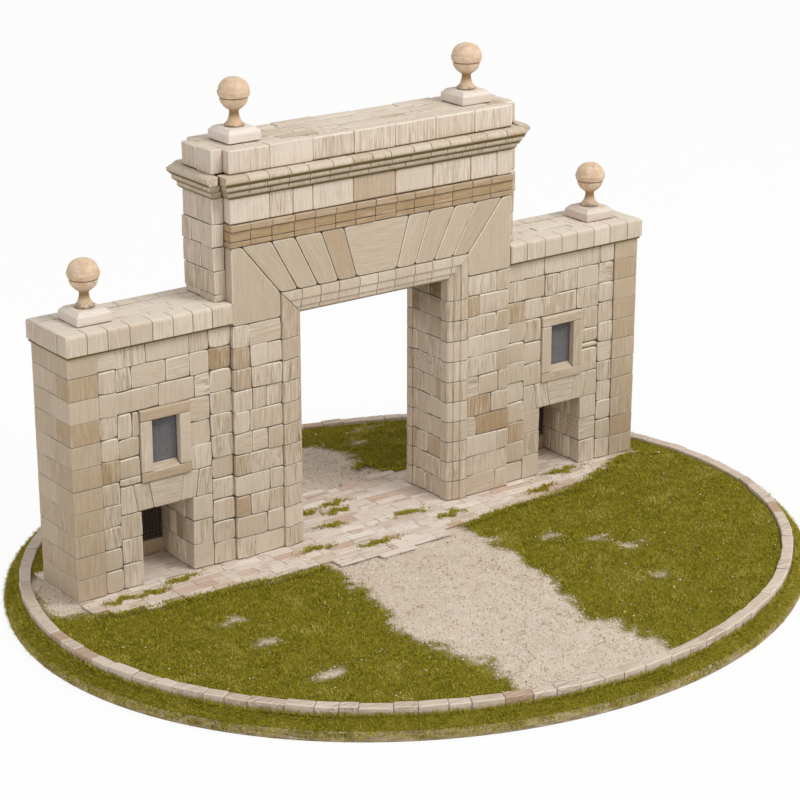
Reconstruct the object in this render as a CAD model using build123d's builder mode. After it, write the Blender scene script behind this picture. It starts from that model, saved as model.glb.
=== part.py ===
import os
from math import cos, radians, sin

from build123d import *

# Scale model of a classical gateway in small ceramic blocks, on its own oval stand.
# Millimetres. X runs along the front, Y goes to the back, Z is up.
# The origin is the centre of the stand's underside.

# Oval stand
board_half_width = 168.0
board_thickness = 5.0
verge_width = 6.0
verge_flat = 1.2
verge_rise = 3.6
kerb_width = 5.5
kerb_height = 7.6
bed_height = 6.0
paving_thickness = 1.0
apron_depth = 23.0
apron_end_inset = 25.0
arch_set_back = 44.0
kerb_end_clearance = 5.8
kerb_pieces = 12

# Central body: piers, gate opening and the stack above it
opening_half_width = 40.7
opening_height = 109.2
moulding_width = 11.1
moulding_projection = 0.6
fascia_step = 0.7
gate_pier_width = 25.2
body_half_depth = 17.2
core_return_width = 6.0
core_step_back = 5.0
facing_depth = 6.0
flat_arch_height = 24.3
architrave_height = 10.1
architrave_projection = 0.5
architrave_lip_height = 3.0
architrave_lip_projection = 1.3
frieze_height = 11.7
cornice_height = 10.2
cornice_overhang = 4.8
crown_bevel = 1.4
attic_height = 9.9
attic_slab_height = 1.0

# Wings
quoin_width = 14.2
strip_width = 9.0
pilaster_width = 11.1
quoin_half_depth = 15.9
strip_step_back = 0.5
wall_step_back = 0.5
wall_thickness = 6.0
coping_height = 9.1
coping_end_overhang = 1.2
coping_face_overhang = 1.8
coping_rounding = 1.7

# Doorways and windows of the wings
door_half_width = 12.9
door_pier_width = 10.2
door_height = 34.4
door_lintel_height = 12.8
ceiling_thickness = 6.0
passage_step_height = 7.0
passage_step_depth = 2.6
passage_end_set_back = 0.8
passage_screen_thickness = 1.0
window_half_width = 12.45
window_light_half_width = 6.4
window_head_height = 5.1
window_sill_height = 4.6
window_sill_slope_rise = 2.3
window_height = 33.0
window_projection = 1.1
frame_depth = 3.7
mesh_thickness = 0.8
mesh_margin = 2.4

# Pedestals and ball finials
pedestal_half_width = 8.8
pedestal_height = 5.8
pedestal_bevel = 2.2
bevel_angle = 45
wing_finial_inset = 18.0
attic_finial_inset = 14.0
finial_height = 21.2
ball_radius = 6.6
band_projection = 0.6
band_height = 4.0
neck_radius = 1.9
neck_height = 2.7
foot_radius = 4.3
foot_rim_height = 1.2

# Mortar joint between separate stones, and what a cut runs past its solid
joint = 0.3
overrun = 2.0

# Joints of the great flat arch, as shares of the half span at its top and of the one at its foot
arch_top_shares = (0.93, 0.73, 0.573, 0.39, 0.232)
arch_foot_shares = (1.0, 0.825, 0.617, 0.407, 0.212)
# Joints of a door's flat arch, as shares of the lintel's half width
lintel_top_shares = (0.717, 0.382)
lintel_foot_shares = (0.637, 0.291)
# Fasciae of the gate moulding, as shares of its width counted from the opening
fascia_shares = (0.3, 0.62)
# Cornice steps, as shares of its height and of its overhang
cornice_height_shares = (0.3, 0.6, 1.0)
cornice_overhang_shares = (0.34, 0.68, 1.0)
# Where the ball's band starts under its middle, as a share of the band's height
band_drop_share = 0.72
# The ball under the band is drawn in to this share of its radius
under_ball_share = 0.93

# Levels and places that follow from the sizes above
ground = board_thickness + bed_height + paving_thickness
moulding_outer = opening_half_width + moulding_width
body_half_width = moulding_outer + gate_pier_width
core_half_width = body_half_width + core_return_width
core_half_depth = body_half_depth - core_step_back
facing_back = body_half_depth - facing_depth
arch_foot = opening_height + moulding_width
arch_top = arch_foot + flat_arch_height
architrave_top = arch_top + architrave_height
frieze_top = architrave_top + frieze_height
cornice_top = frieze_top + cornice_height
attic_top = cornice_top + attic_height
roof_top = attic_top + attic_slab_height
coping_top = arch_foot
wall_height = coping_top - coping_height
bay_inner = body_half_width + pilaster_width
bay_half_width = door_half_width + door_pier_width
bay_centre = bay_inner + bay_half_width
bay_outer = bay_centre + bay_half_width
quoin_inner = bay_outer + strip_width
wing_half_width = quoin_inner + quoin_width
strip_half_depth = quoin_half_depth - strip_step_back
wall_half_depth = strip_half_depth - wall_step_back
wall_back = wall_half_depth - wall_thickness
lintel_top = door_height + door_lintel_height
window_foot = lintel_top
window_top = window_foot + window_height
frame_front = wall_half_depth + window_projection
frame_back = frame_front - frame_depth
# The oval is drawn so that the kerb clears the back corner of the quoins
kerb_inner_width = board_half_width - verge_width - kerb_width
kerb_corner_share = (arch_set_back + quoin_half_depth) / kerb_inner_width
kerb_inner_length = (wing_half_width + kerb_end_clearance) / (1 - kerb_corner_share**2) ** (1 / 2)
kerb_outer_length = kerb_inner_length + kerb_width
kerb_outer_width = kerb_inner_width + kerb_width
board_half_length = kerb_outer_length + verge_width
sides = (("left", -1), ("right", 1))
faces = (("front", -1), ("back", 1))


def level(height):
    # Level plane of the arch, at a height above its paving
    return Plane(origin=(0, arch_set_back, ground + height))


def upright(depth):
    # Upright plane parallel to the front: local X is X, local Y is Z, and it faces the front
    return Plane(origin=(0, arch_set_back + depth, ground), x_dir=(1, 0, 0), z_dir=(0, -1, 0))


def across(side, start, end):
    return sorted((side * start, side * end))


def block(x_span, y_span, z_span):
    # One squared block of the arch between two values along each axis
    with BuildSketch(level(z_span[0])) as footprint:
        with Locations(((x_span[0] + x_span[1]) / 2, (y_span[0] + y_span[1]) / 2)):
            Rectangle(x_span[1] - x_span[0], y_span[1] - y_span[0])
    extrude(footprint.sketch, amount=z_span[1] - z_span[0])


def facing(corners, y_span, mode=Mode.ADD):
    # A flat piece with an outline drawn on the front, from one depth to another
    with BuildSketch(upright(y_span[1])) as outline:
        with BuildLine():
            Polyline(*corners, close=True)
        make_face()
    extrude(outline.sketch, amount=y_span[1] - y_span[0], mode=mode)


def stepped_plan(height, overhang):
    # Plan of the central body: the deep middle and the wider, shallower core behind it
    with BuildSketch(level(height)) as plan:
        Rectangle(2 * (body_half_width + overhang), 2 * (body_half_depth + overhang))
        Rectangle(2 * (core_half_width + overhang), 2 * (core_half_depth + overhang))
    return plan.sketch


def save(piece, name):
    piece.part.label = name
    export_step(piece.part, f"parts/{name}.step")


os.makedirs("parts", exist_ok=True)

# Stand: board, sloping verge and raised bed
with BuildPart() as base_board:
    with BuildSketch():
        Ellipse(board_half_length, board_half_width)
    extrude(amount=board_thickness)
save(base_board, "base_board")

with BuildPart() as verge:
    with BuildSketch(Plane.XY.offset(board_thickness)):
        Ellipse(board_half_length, board_half_width)
    with BuildSketch(Plane.XY.offset(board_thickness + verge_rise)):
        Ellipse(kerb_outer_length + verge_flat, kerb_outer_width + verge_flat)
    loft(ruled=True)
    with BuildSketch(Plane.XY.offset(board_thickness - overrun)):
        Ellipse(kerb_outer_length, kerb_outer_width)
    extrude(amount=verge_rise + 2 * overrun, mode=Mode.SUBTRACT)
save(verge, "verge")

with BuildPart() as ground_bed:
    with BuildSketch(Plane.XY.offset(board_thickness)):
        Ellipse(kerb_inner_length, kerb_inner_width)
    extrude(amount=bed_height)
save(ground_bed, "ground_bed")

# Paving lies under the whole arch and widens to an apron that the kerb may cut
with BuildPart() as paving:
    with BuildSketch(level(-paving_thickness)):
        Rectangle(2 * wing_half_width, 2 * quoin_half_depth)
        Rectangle(2 * (wing_half_width - apron_end_inset), 2 * (body_half_depth + apron_depth))
        with Locations((0, -arch_set_back)):
            Ellipse(kerb_inner_length - joint, kerb_inner_width - joint, mode=Mode.INTERSECT)
    extrude(amount=paving_thickness)
save(paving, "paving")

# Kerb round the bed, in stones with open joints
kerb_step = 180 / kerb_pieces
for face, side in faces:
    with BuildPart() as kerb:
        with BuildSketch(Plane.XY.offset(board_thickness)):
            for piece in range(kerb_pieces):
                start = radians(side * piece * kerb_step)
                end = radians(side * (piece + 1) * kerb_step)
                trim = side * joint / board_half_width
                with BuildLine():
                    Polyline(
                        (board_half_width * cos(start + trim) / 2, board_half_width * sin(start + trim) / 2),
                        (2 * board_half_length * cos(start + trim), 2 * board_half_length * sin(start + trim)),
                        (2 * board_half_length * cos(end - trim), 2 * board_half_length * sin(end - trim)),
                        (board_half_width * cos(end - trim) / 2, board_half_width * sin(end - trim) / 2),
                        close=True,
                    )
                make_face()
            Ellipse(kerb_outer_length, kerb_outer_width, mode=Mode.INTERSECT)
            Ellipse(kerb_inner_length, kerb_inner_width, mode=Mode.SUBTRACT)
        extrude(amount=kerb_height)
    save(kerb, f"{face}_kerb")

# Gate piers: their plan is notched at the corners for the moulded jambs
for name, side in sides:
    with BuildPart() as pier:
        with BuildSketch(level(0)):
            with BuildLine():
                Polyline(
                    (side * opening_half_width, -facing_back),
                    (side * moulding_outer, -facing_back),
                    (side * moulding_outer, -body_half_depth),
                    (side * body_half_width, -body_half_depth),
                    (side * body_half_width, body_half_depth),
                    (side * moulding_outer, body_half_depth),
                    (side * moulding_outer, facing_back),
                    (side * opening_half_width, facing_back),
                    close=True,
                )
            make_face()
        extrude(amount=opening_height)
    save(pier, f"{name}_gate_pier")


def moulding_profile(plane):
    # Three fasciae that step forward away from the opening: local X from the opening, local Y to the face
    depth = facing_depth + moulding_projection
    first, second = (moulding_width * share for share in fascia_shares)
    with BuildSketch(plane) as profile:
        with BuildLine():
            Polyline(
                (0, 0),
                (0, depth - 2 * fascia_step),
                (first, depth - 2 * fascia_step),
                (first, depth - fascia_step),
                (second, depth - fascia_step),
                (second, depth),
                (moulding_width, depth),
                (moulding_width, 0),
                close=True,
            )
        make_face()
    return profile.sketch


# Moulded jambs and lintels round the gate, mitred at the corners, on both faces
moulding_face = body_half_depth + moulding_projection
for name, side in sides:
    with BuildPart() as jambs:
        for face, front in faces:
            foot = Plane(
                origin=(side * opening_half_width, arch_set_back + front * facing_back, ground),
                x_dir=(side, 0, 0),
                z_dir=(0, 0, side * front),
            )
            extrude(moulding_profile(foot), amount=side * front * arch_foot)
        facing(
            (
                (side * opening_half_width, opening_height),
                (side * moulding_outer, arch_foot),
                (side * moulding_outer, arch_foot + overrun),
                (side * (opening_half_width - overrun), arch_foot + overrun),
                (side * (opening_half_width - overrun), opening_height),
            ),
            (-moulding_face - overrun, moulding_face + overrun),
            mode=Mode.SUBTRACT,
        )
    save(jambs, f"{name}_gate_jambs")

with BuildPart() as gate_lintels:
    for face, front in faces:
        end = Plane(
            origin=(-moulding_outer, arch_set_back + front * facing_back, ground + opening_height),
            x_dir=(0, 0, 1),
            z_dir=(-front, 0, 0),
        )
        extrude(moulding_profile(end), amount=-front * 2 * moulding_outer)
    for name, side in sides:
        facing(
            (
                (side * opening_half_width, opening_height),
                (side * moulding_outer, arch_foot),
                (side * (moulding_outer + overrun), arch_foot),
                (side * (moulding_outer + overrun), opening_height - overrun),
                (side * opening_half_width, opening_height - overrun),
            ),
            (-moulding_face - overrun, moulding_face + overrun),
            mode=Mode.SUBTRACT,
        )
save(gate_lintels, "gate_lintels")

# Great flat arch on each face: skewback springers, wedge stones and a broad keystone
top_joints = [body_half_width * share for share in arch_top_shares]
foot_joints = [moulding_outer * share for share in arch_foot_shares]
gap = joint / 2
for face, front in faces:
    y_span = sorted((front * facing_back, front * body_half_depth))
    with BuildPart() as flat_arch:
        for name, side in sides:
            facing(
                (
                    (side * moulding_outer, opening_height),
                    (side * body_half_width, opening_height),
                    (side * body_half_width, arch_top),
                    (side * (top_joints[0] + gap), arch_top),
                    (side * moulding_outer, arch_foot),
                ),
                y_span,
            )
            for stone in range(len(top_joints) - 1):
                facing(
                    (
                        (side * (foot_joints[stone] - gap), arch_foot),
                        (side * (top_joints[stone] - gap), arch_top),
                        (side * (top_joints[stone + 1] + gap), arch_top),
                        (side * (foot_joints[stone + 1] + gap), arch_foot),
                    ),
                    y_span,
                )
        facing(
            (
                (-foot_joints[-1] + gap, arch_foot),
                (foot_joints[-1] - gap, arch_foot),
                (top_joints[-1] - gap, arch_top),
                (-top_joints[-1] + gap, arch_top),
            ),
            y_span,
        )
    save(flat_arch, f"{face}_flat_arch")

# Beam behind the flat arches, and the returns of the core that stand on the wings
with BuildPart() as gate_beam:
    block((-body_half_width, body_half_width), (-facing_back, facing_back), (opening_height, arch_top))
save(gate_beam, "gate_beam")

with BuildPart() as core_returns:
    for name, side in sides:
        block(
            across(side, body_half_width, core_half_width),
            (-core_half_depth, core_half_depth),
            (coping_top, arch_top),
        )
save(core_returns, "core_returns")

# Architrave, frieze, stepped cornice, attic and roof slab, all breaking forward round the body
with BuildPart() as architrave:
    extrude(stepped_plan(arch_top, architrave_projection), amount=architrave_height)
    extrude(
        stepped_plan(architrave_top - architrave_lip_height, architrave_lip_projection),
        amount=architrave_lip_height,
    )
save(architrave, "architrave")

with BuildPart() as frieze:
    extrude(stepped_plan(architrave_top, 0), amount=frieze_height)
save(frieze, "frieze")

with BuildPart() as cornice:
    step_foot = 0
    for height_share, overhang_share in zip(cornice_height_shares, cornice_overhang_shares):
        step_head = cornice_height * height_share
        extrude(
            stepped_plan(frieze_top + step_foot, cornice_overhang * overhang_share),
            amount=step_head - step_foot,
        )
        step_foot = step_head
    chamfer(cornice.faces().sort_by(Axis.Z)[-1].edges(), length=crown_bevel)
save(cornice, "cornice")

with BuildPart() as attic:
    extrude(stepped_plan(cornice_top, 0), amount=attic_height)
save(attic, "attic")

with BuildPart() as attic_slab:
    extrude(stepped_plan(attic_top, 0), amount=attic_slab_height)
save(attic_slab, "attic_slab")

# Wings
for name, side in sides:
    with BuildPart() as outer_pier:
        block(
            across(side, bay_outer, quoin_inner),
            (-strip_half_depth, strip_half_depth),
            (0, wall_height),
        )
        block(
            across(side, quoin_inner, wing_half_width),
            (-quoin_half_depth, quoin_half_depth),
            (0, wall_height),
        )
    save(outer_pier, f"{name}_quoin_pier")

    with BuildPart() as inner_pier:
        block(
            across(side, body_half_width, bay_inner),
            (-strip_half_depth, strip_half_depth),
            (0, wall_height),
        )
    save(inner_pier, f"{name}_pilaster")

    with BuildPart() as passage_walls:
        for x_span in ((bay_inner, bay_centre - door_half_width), (bay_centre + door_half_width, bay_outer)):
            block(across(side, *x_span), (-wall_half_depth, wall_half_depth), (0, door_height))
    save(passage_walls, f"{name}_passage_walls")

    with BuildPart() as passage_ceiling:
        block(
            across(side, bay_inner, bay_outer),
            (-wall_back, wall_back),
            (door_height, door_height + ceiling_thickness),
        )
    save(passage_ceiling, f"{name}_passage_ceiling")

    # The doorway ends at the back in a low course of stone with a dark screen above it
    step_back = wall_half_depth - passage_end_set_back
    step_front = step_back - passage_step_depth
    screen_centre = (step_front + step_back) / 2
    screen_span = (screen_centre - passage_screen_thickness / 2, screen_centre + passage_screen_thickness / 2)
    door_span = across(side, bay_centre - door_half_width, bay_centre + door_half_width)
    with BuildPart() as passage_step:
        block(door_span, (step_front, step_back), (0, passage_step_height))
    save(passage_step, f"{name}_passage_step")

    with BuildPart() as passage_screen:
        block(door_span, screen_span, (passage_step_height, door_height))
    save(passage_screen, f"{name}_passage_screen")

    # Flat arch over each end of the passage: five stones between the pilaster and the pier
    tops = [bay_half_width * share for share in lintel_top_shares]
    feet = [bay_half_width * share for share in lintel_foot_shares]
    with BuildPart() as door_lintels:
        for face, front in faces:
            y_span = sorted((front * wall_back, front * wall_half_depth))
            for hand, turn in sides:
                facing(
                    (
                        (side * bay_centre + turn * bay_half_width, door_height),
                        (side * bay_centre + turn * bay_half_width, lintel_top),
                        (side * bay_centre + turn * (tops[0] + gap), lintel_top),
                        (side * bay_centre + turn * (feet[0] + gap), door_height),
                    ),
                    y_span,
                )
                facing(
                    (
                        (side * bay_centre + turn * (feet[0] - gap), door_height),
                        (side * bay_centre + turn * (tops[0] - gap), lintel_top),
                        (side * bay_centre + turn * (tops[1] + gap), lintel_top),
                        (side * bay_centre + turn * (feet[1] + gap), door_height),
                    ),
                    y_span,
                )
            facing(
                (
                    (side * bay_centre - feet[1] + gap, door_height),
                    (side * bay_centre + feet[1] - gap, door_height),
                    (side * bay_centre + tops[1] - gap, lintel_top),
                    (side * bay_centre - tops[1] + gap, lintel_top),
                ),
                y_span,
            )
    save(door_lintels, f"{name}_door_lintels")

    # Upper walls, each with a window gap that stands on the door's lintel
    for face, front in faces:
        y_span = sorted((front * wall_back, front * wall_half_depth))
        with BuildPart() as wall:
            block(across(side, bay_inner, bay_outer), y_span, (lintel_top, wall_height))
            facing(
                (
                    (side * bay_centre - window_half_width, window_foot - overrun),
                    (side * bay_centre + window_half_width, window_foot - overrun),
                    (side * bay_centre + window_half_width, window_top),
                    (side * bay_centre - window_half_width, window_top),
                ),
                (y_span[0] - overrun, y_span[1] + overrun),
                mode=Mode.SUBTRACT,
            )
        save(wall, f"{name}_{face}_wall")

    # Stone window frames: head, two jambs, and a sill whose top slopes out between the jambs
    with BuildPart() as window_frames:
        for face, front in faces:
            y_span = sorted((front * frame_back, front * frame_front))
            sill_top = window_foot + window_sill_height
            head_foot = window_top - window_head_height
            left_edge = side * bay_centre - window_half_width
            right_edge = side * bay_centre + window_half_width
            block((left_edge, right_edge), y_span, (head_foot + joint, window_top))
            block((left_edge, right_edge), y_span, (window_foot, sill_top))
            slope_edge = Plane(
                origin=(side * bay_centre - window_light_half_width + joint, arch_set_back, ground),
                x_dir=(0, 1, 0),
                z_dir=(1, 0, 0),
            )
            with BuildSketch(slope_edge) as slope:
                with BuildLine():
                    Polyline(
                        (front * frame_front, sill_top),
                        (front * frame_back, sill_top + window_sill_slope_rise),
                        (front * frame_back, sill_top),
                        close=True,
                    )
                make_face()
            extrude(slope.sketch, amount=2 * (window_light_half_width - joint))
            for edge, inward in ((left_edge, 1), (right_edge, -1)):
                jamb = sorted((edge, edge + inward * (window_half_width - window_light_half_width)))
                block(jamb, y_span, (sill_top + joint, head_foot))
    save(window_frames, f"{name}_window_frames")

    with BuildPart() as window_meshes:
        for face, front in faces:
            block(
                (
                    side * bay_centre - window_light_half_width - mesh_margin,
                    side * bay_centre + window_light_half_width + mesh_margin,
                ),
                sorted((front * frame_back, front * (frame_back - mesh_thickness))),
                (window_foot + window_sill_height, window_top - window_head_height + mesh_margin),
            )
    save(window_meshes, f"{name}_window_meshes")

    with BuildPart() as coping:
        block(
            across(side, body_half_width, wing_half_width + coping_end_overhang),
            (-quoin_half_depth - coping_face_overhang, quoin_half_depth + coping_face_overhang),
            (wall_height, coping_top),
        )
        top_edges = coping.faces().sort_by(Axis.Z)[-1].edges()
        end_edges = top_edges.filter_by(Axis.Y).sort_by(Axis.X)
        end_edge = end_edges[-1] if side > 0 else end_edges[0]
        fillet([*top_edges.filter_by(Axis.X), end_edge], radius=coping_rounding)
    save(coping, f"{name}_coping")


def pedestal(x, foot):
    # Square block with a bevelled top
    shoulder = foot + pedestal_height - pedestal_bevel
    half_span = (-pedestal_half_width, pedestal_half_width)
    block((x + half_span[0], x + half_span[1]), half_span, (foot, shoulder))
    with BuildSketch(level(shoulder)) as top:
        with Locations((x, 0)):
            Rectangle(2 * pedestal_half_width, 2 * pedestal_half_width)
    extrude(top.sketch, amount=pedestal_bevel, taper=bevel_angle)


def finial(x, foot):
    # Turned ball with a band round it, on a neck and a flared foot
    ball_centre = finial_height - ball_radius
    under_radius = ball_radius * under_ball_share
    band_foot = ball_centre - band_height * band_drop_share
    band_head = band_foot + band_height
    neck_foot = ball_centre - (under_radius**2 - neck_radius**2) ** (1 / 2) - neck_height
    neck_head = neck_foot + neck_height
    under_foot_x = (under_radius**2 - (ball_centre - band_foot) ** 2) ** (1 / 2)
    dome_foot_x = (ball_radius**2 - (band_head - ball_centre) ** 2) ** (1 / 2)
    half = 2 ** (1 / 2) / 2
    with BuildSketch(Plane(origin=(x, arch_set_back, ground + foot), x_dir=(1, 0, 0), z_dir=(0, -1, 0))) as outline:
        with BuildLine():
            Polyline((0, finial_height), (0, 0), (foot_radius, 0), (foot_radius, foot_rim_height))
            Spline(
                (foot_radius, foot_rim_height),
                (neck_radius, neck_foot),
                tangents=((-half, half), (0, 1)),
            )
            Line((neck_radius, neck_foot), (neck_radius, neck_head))
            ThreePointArc(
                (neck_radius, neck_head),
                (under_radius * half, ball_centre - under_radius * half),
                (under_foot_x, band_foot),
            )
            Polyline(
                (under_foot_x, band_foot),
                (ball_radius, band_foot),
                (ball_radius + band_projection, band_head - band_projection),
                (dome_foot_x, band_head),
            )
            ThreePointArc(
                (dome_foot_x, band_head),
                (ball_radius * half, ball_centre + ball_radius * half),
                (0, finial_height),
            )
        make_face()
    revolve(outline.sketch, axis=Axis((x, arch_set_back, 0), (0, 0, 1)))


# Pedestals and finials stand in pairs, near the wing ends and on the attic
for name, place, foot in (
    ("wing", wing_half_width - wing_finial_inset, coping_top),
    ("attic", body_half_width - attic_finial_inset, roof_top),
):
    with BuildPart() as pedestals:
        for hand, side in sides:
            pedestal(side * place, foot)
    save(pedestals, f"{name}_pedestals")

    with BuildPart() as finials:
        for hand, side in sides:
            finial(side * place, foot + pedestal_height)
    save(finials, f"{name}_finials")
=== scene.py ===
import math
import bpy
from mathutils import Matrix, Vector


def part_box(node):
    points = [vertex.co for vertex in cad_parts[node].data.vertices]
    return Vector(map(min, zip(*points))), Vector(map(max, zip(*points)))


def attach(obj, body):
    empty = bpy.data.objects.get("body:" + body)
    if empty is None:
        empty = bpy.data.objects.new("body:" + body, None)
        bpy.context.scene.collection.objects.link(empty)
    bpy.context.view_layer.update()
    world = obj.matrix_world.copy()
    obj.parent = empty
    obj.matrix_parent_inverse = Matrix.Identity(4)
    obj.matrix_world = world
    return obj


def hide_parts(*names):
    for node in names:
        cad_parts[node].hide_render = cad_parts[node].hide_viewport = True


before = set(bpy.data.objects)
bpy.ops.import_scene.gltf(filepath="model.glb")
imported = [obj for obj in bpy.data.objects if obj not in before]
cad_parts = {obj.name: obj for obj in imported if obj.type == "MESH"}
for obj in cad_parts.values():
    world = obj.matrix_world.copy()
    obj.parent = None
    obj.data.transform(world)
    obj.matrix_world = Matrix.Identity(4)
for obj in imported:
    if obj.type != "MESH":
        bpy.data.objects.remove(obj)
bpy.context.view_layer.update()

import zlib

import bpy
import numpy as np
from mathutils import Vector

# everything is drawn in millimetres about the foot of the gate, on its paving
mm = 0.001
quoinLo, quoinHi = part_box("left_quoin_pier")
gatePlace = np.array((0.0, (quoinLo.y + quoinHi.y) / 2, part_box("paving")[1].z)) / mm
xAxis, yAxis, zAxis = np.eye(3)
sides = (("left", -1), ("right", 1))
faces = (("front", -1), ("back", 1))
ways = (-1, 1)
otherSide = dict(left="right", right="left")


def span(node):
    lo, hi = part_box(node)
    return np.array(lo) / mm - gatePlace, np.array(hi) / mm - gatePlace


def ordered(side, a, b):
    return sorted((side * a, side * b))


# gathering stones into one mesh
class Pile:
    def __init__(self, name):
        self.name = name
        self.dice = np.random.default_rng(zlib.crc32(name.encode()))
        self.points, self.corners, self.sizes, self.finish = [], [], [], []
        self.tint, self.grain = [], []
        self.total = 0

    def add(self, points, shell, tint, grain, finish=0):
        if isinstance(shell, np.ndarray):
            corners, sizes = shell.ravel(), np.full(len(shell), shell.shape[1])
        else:
            corners, sizes = np.concatenate(shell), np.array([len(face) for face in shell])
        self.corners.append(corners + self.total)
        self.sizes.append(sizes)
        self.finish.append(np.full(len(sizes), finish))
        self.points.append(points)
        self.tint.append(tint)
        self.grain.append(grain)
        self.total += len(points)


def cornerNormals(points, corners, starts, sizes, sharpest=50):
    # big faces lead, so flat faces stay flat and only the worn arrises turn
    faceOf = np.repeat(np.arange(len(sizes)), sizes)
    after = np.arange(len(corners)) + 1
    after[starts + sizes - 1] = starts
    turn = np.cross(points[corners], points[corners[after]])
    area = np.add.reduceat(turn, starts)
    unit = area / np.maximum(np.linalg.norm(area, axis=1, keepdims=True), 1e-20)
    order = np.argsort(corners, kind="stable")
    first = np.searchsorted(corners[order], corners)
    count = np.bincount(corners)[corners]
    limit = math.cos(math.radians(sharpest))
    total = np.zeros((len(corners), 3))
    for k in range(count.max()):
        other = faceOf[order[np.minimum(first + k, first + count - 1)]]
        near = (k < count) & (np.einsum("ij,ij->i", unit[faceOf], unit[other]) > limit)
        total += area[other] * near[:, None]
    return total / np.maximum(np.linalg.norm(total, axis=1, keepdims=True), 1e-20)


pieceSizes = {}


def makePiece(pile, finishes, nodes=()):
    points = (np.concatenate(pile.points) + gatePlace) * mm
    corners = np.concatenate(pile.corners)
    sizes = np.concatenate(pile.sizes)
    starts = np.concatenate(([0], np.cumsum(sizes)[:-1]))
    mesh = bpy.data.meshes.new(pile.name)
    mesh.vertices.add(len(points))
    mesh.vertices.foreach_set("co", points.ravel())
    mesh.loops.add(len(corners))
    mesh.loops.foreach_set("vertex_index", corners.astype(np.int32))
    mesh.polygons.add(len(sizes))
    mesh.polygons.foreach_set("loop_start", starts.astype(np.int32))
    mesh.polygons.foreach_set("material_index", np.concatenate(pile.finish).astype(np.int32))
    mesh.polygons.foreach_set("use_smooth", np.ones(len(sizes), bool))
    tint = mesh.attributes.new("tint", "FLOAT_COLOR", "POINT")
    tint.data.foreach_set("color", np.concatenate(pile.tint).astype(np.float32).ravel())
    grain = mesh.attributes.new("grain", "FLOAT_VECTOR", "POINT")
    grain.data.foreach_set("vector", np.concatenate(pile.grain).astype(np.float32).ravel())
    mesh.update(calc_edges=True)
    mesh.normals_split_custom_set(cornerNormals(points, corners, starts, sizes))
    for finish in finishes:
        mesh.materials.append(finish)
    piece = bpy.data.objects.new(pile.name, mesh)
    bpy.context.scene.collection.objects.link(piece)
    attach(piece, "root")
    if nodes:
        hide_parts(*nodes)
    triangles = int((sizes - 2).sum())
    pieceSizes[pile.name] = triangles
    print("made", pile.name, triangles, "triangles")


# shapes of single stones
stoneTone = dict(middle=0.5, spread=0.2, brown=(0.35, 0.9), pale=(0, 0.14), streakPower=1.3)
grainRun = dict(slow=0.94, spread=400)


def stoneTint(dice, look, count, worn, brown=None, tone=None):
    # red is tone, green is brownness, blue is how streaked the stone is, alpha is arris wear and painted highlight
    tone = dice.normal(stoneTone["middle"], look.get("toneSpread", stoneTone["spread"])) + (tone or 0)
    chance, depth = dice.random(), dice.uniform(*stoneTone["brown"])
    pale, streak = dice.uniform(*stoneTone["pale"]), dice.random()
    if brown is None:
        brown = depth if chance < look["brown"] else pale
    tint = np.empty((count, 4))
    tint[:, 0] = np.clip(tone, 0, 1)
    tint[:, 1] = brown
    tint[:, 2] = streak ** stoneTone["streakPower"] * look["streak"]
    tint[:, 3] = worn * look.get("arrisWearAndHighlight", 1.0)
    return tint


def grainOf(points, flow, dice):
    # coordinates that run slowly along the grain and fast across it
    along = points @ flow
    return points - np.outer(along, flow) * grainRun["slow"] + dice.uniform(0, grainRun["spread"], 3)


def latticeShell(cells):
    ids, quads = {}, []
    for axis in range(3):
        for end in (0, cells):
            for a in range(cells):
                for b in range(cells):
                    ring = [(a, b), (a + 1, b), (a + 1, b + 1), (a, b + 1)]
                    quad = []
                    for u, v in ring if end else ring[::-1]:
                        spot = [0, 0, 0]
                        spot[axis], spot[(axis + 1) % 3], spot[(axis + 2) % 3] = end, u, v
                        quad.append(ids.setdefault(tuple(spot), len(ids)))
                    quads.append(quad)
    return np.array(list(ids)), np.array(quads)


shellCells = 5
shellSpots, shellQuads = latticeShell(shellCells)
shellEnds = (shellSpots == 0) | (shellSpots == shellCells)
shellArris = (shellEnds.sum(1) > 1).astype(float)
shellInner = ((shellSpots == 2) | (shellSpots == 3)).sum(1) == 2  # the middle of each face
stoneShape = dict(
    roundSpread=(0.6, 1.45), roundLimit=0.32, innerShare=0.34, bulgeSpread=(0.3, 1.2), softReach=2.4, softPull=0.3,
    chipReach=(1.2, 2.6), chipLeast=0.6, chipPull=0.5, proudSpread=(-1, 0.5), upright=0.85,
)


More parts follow.
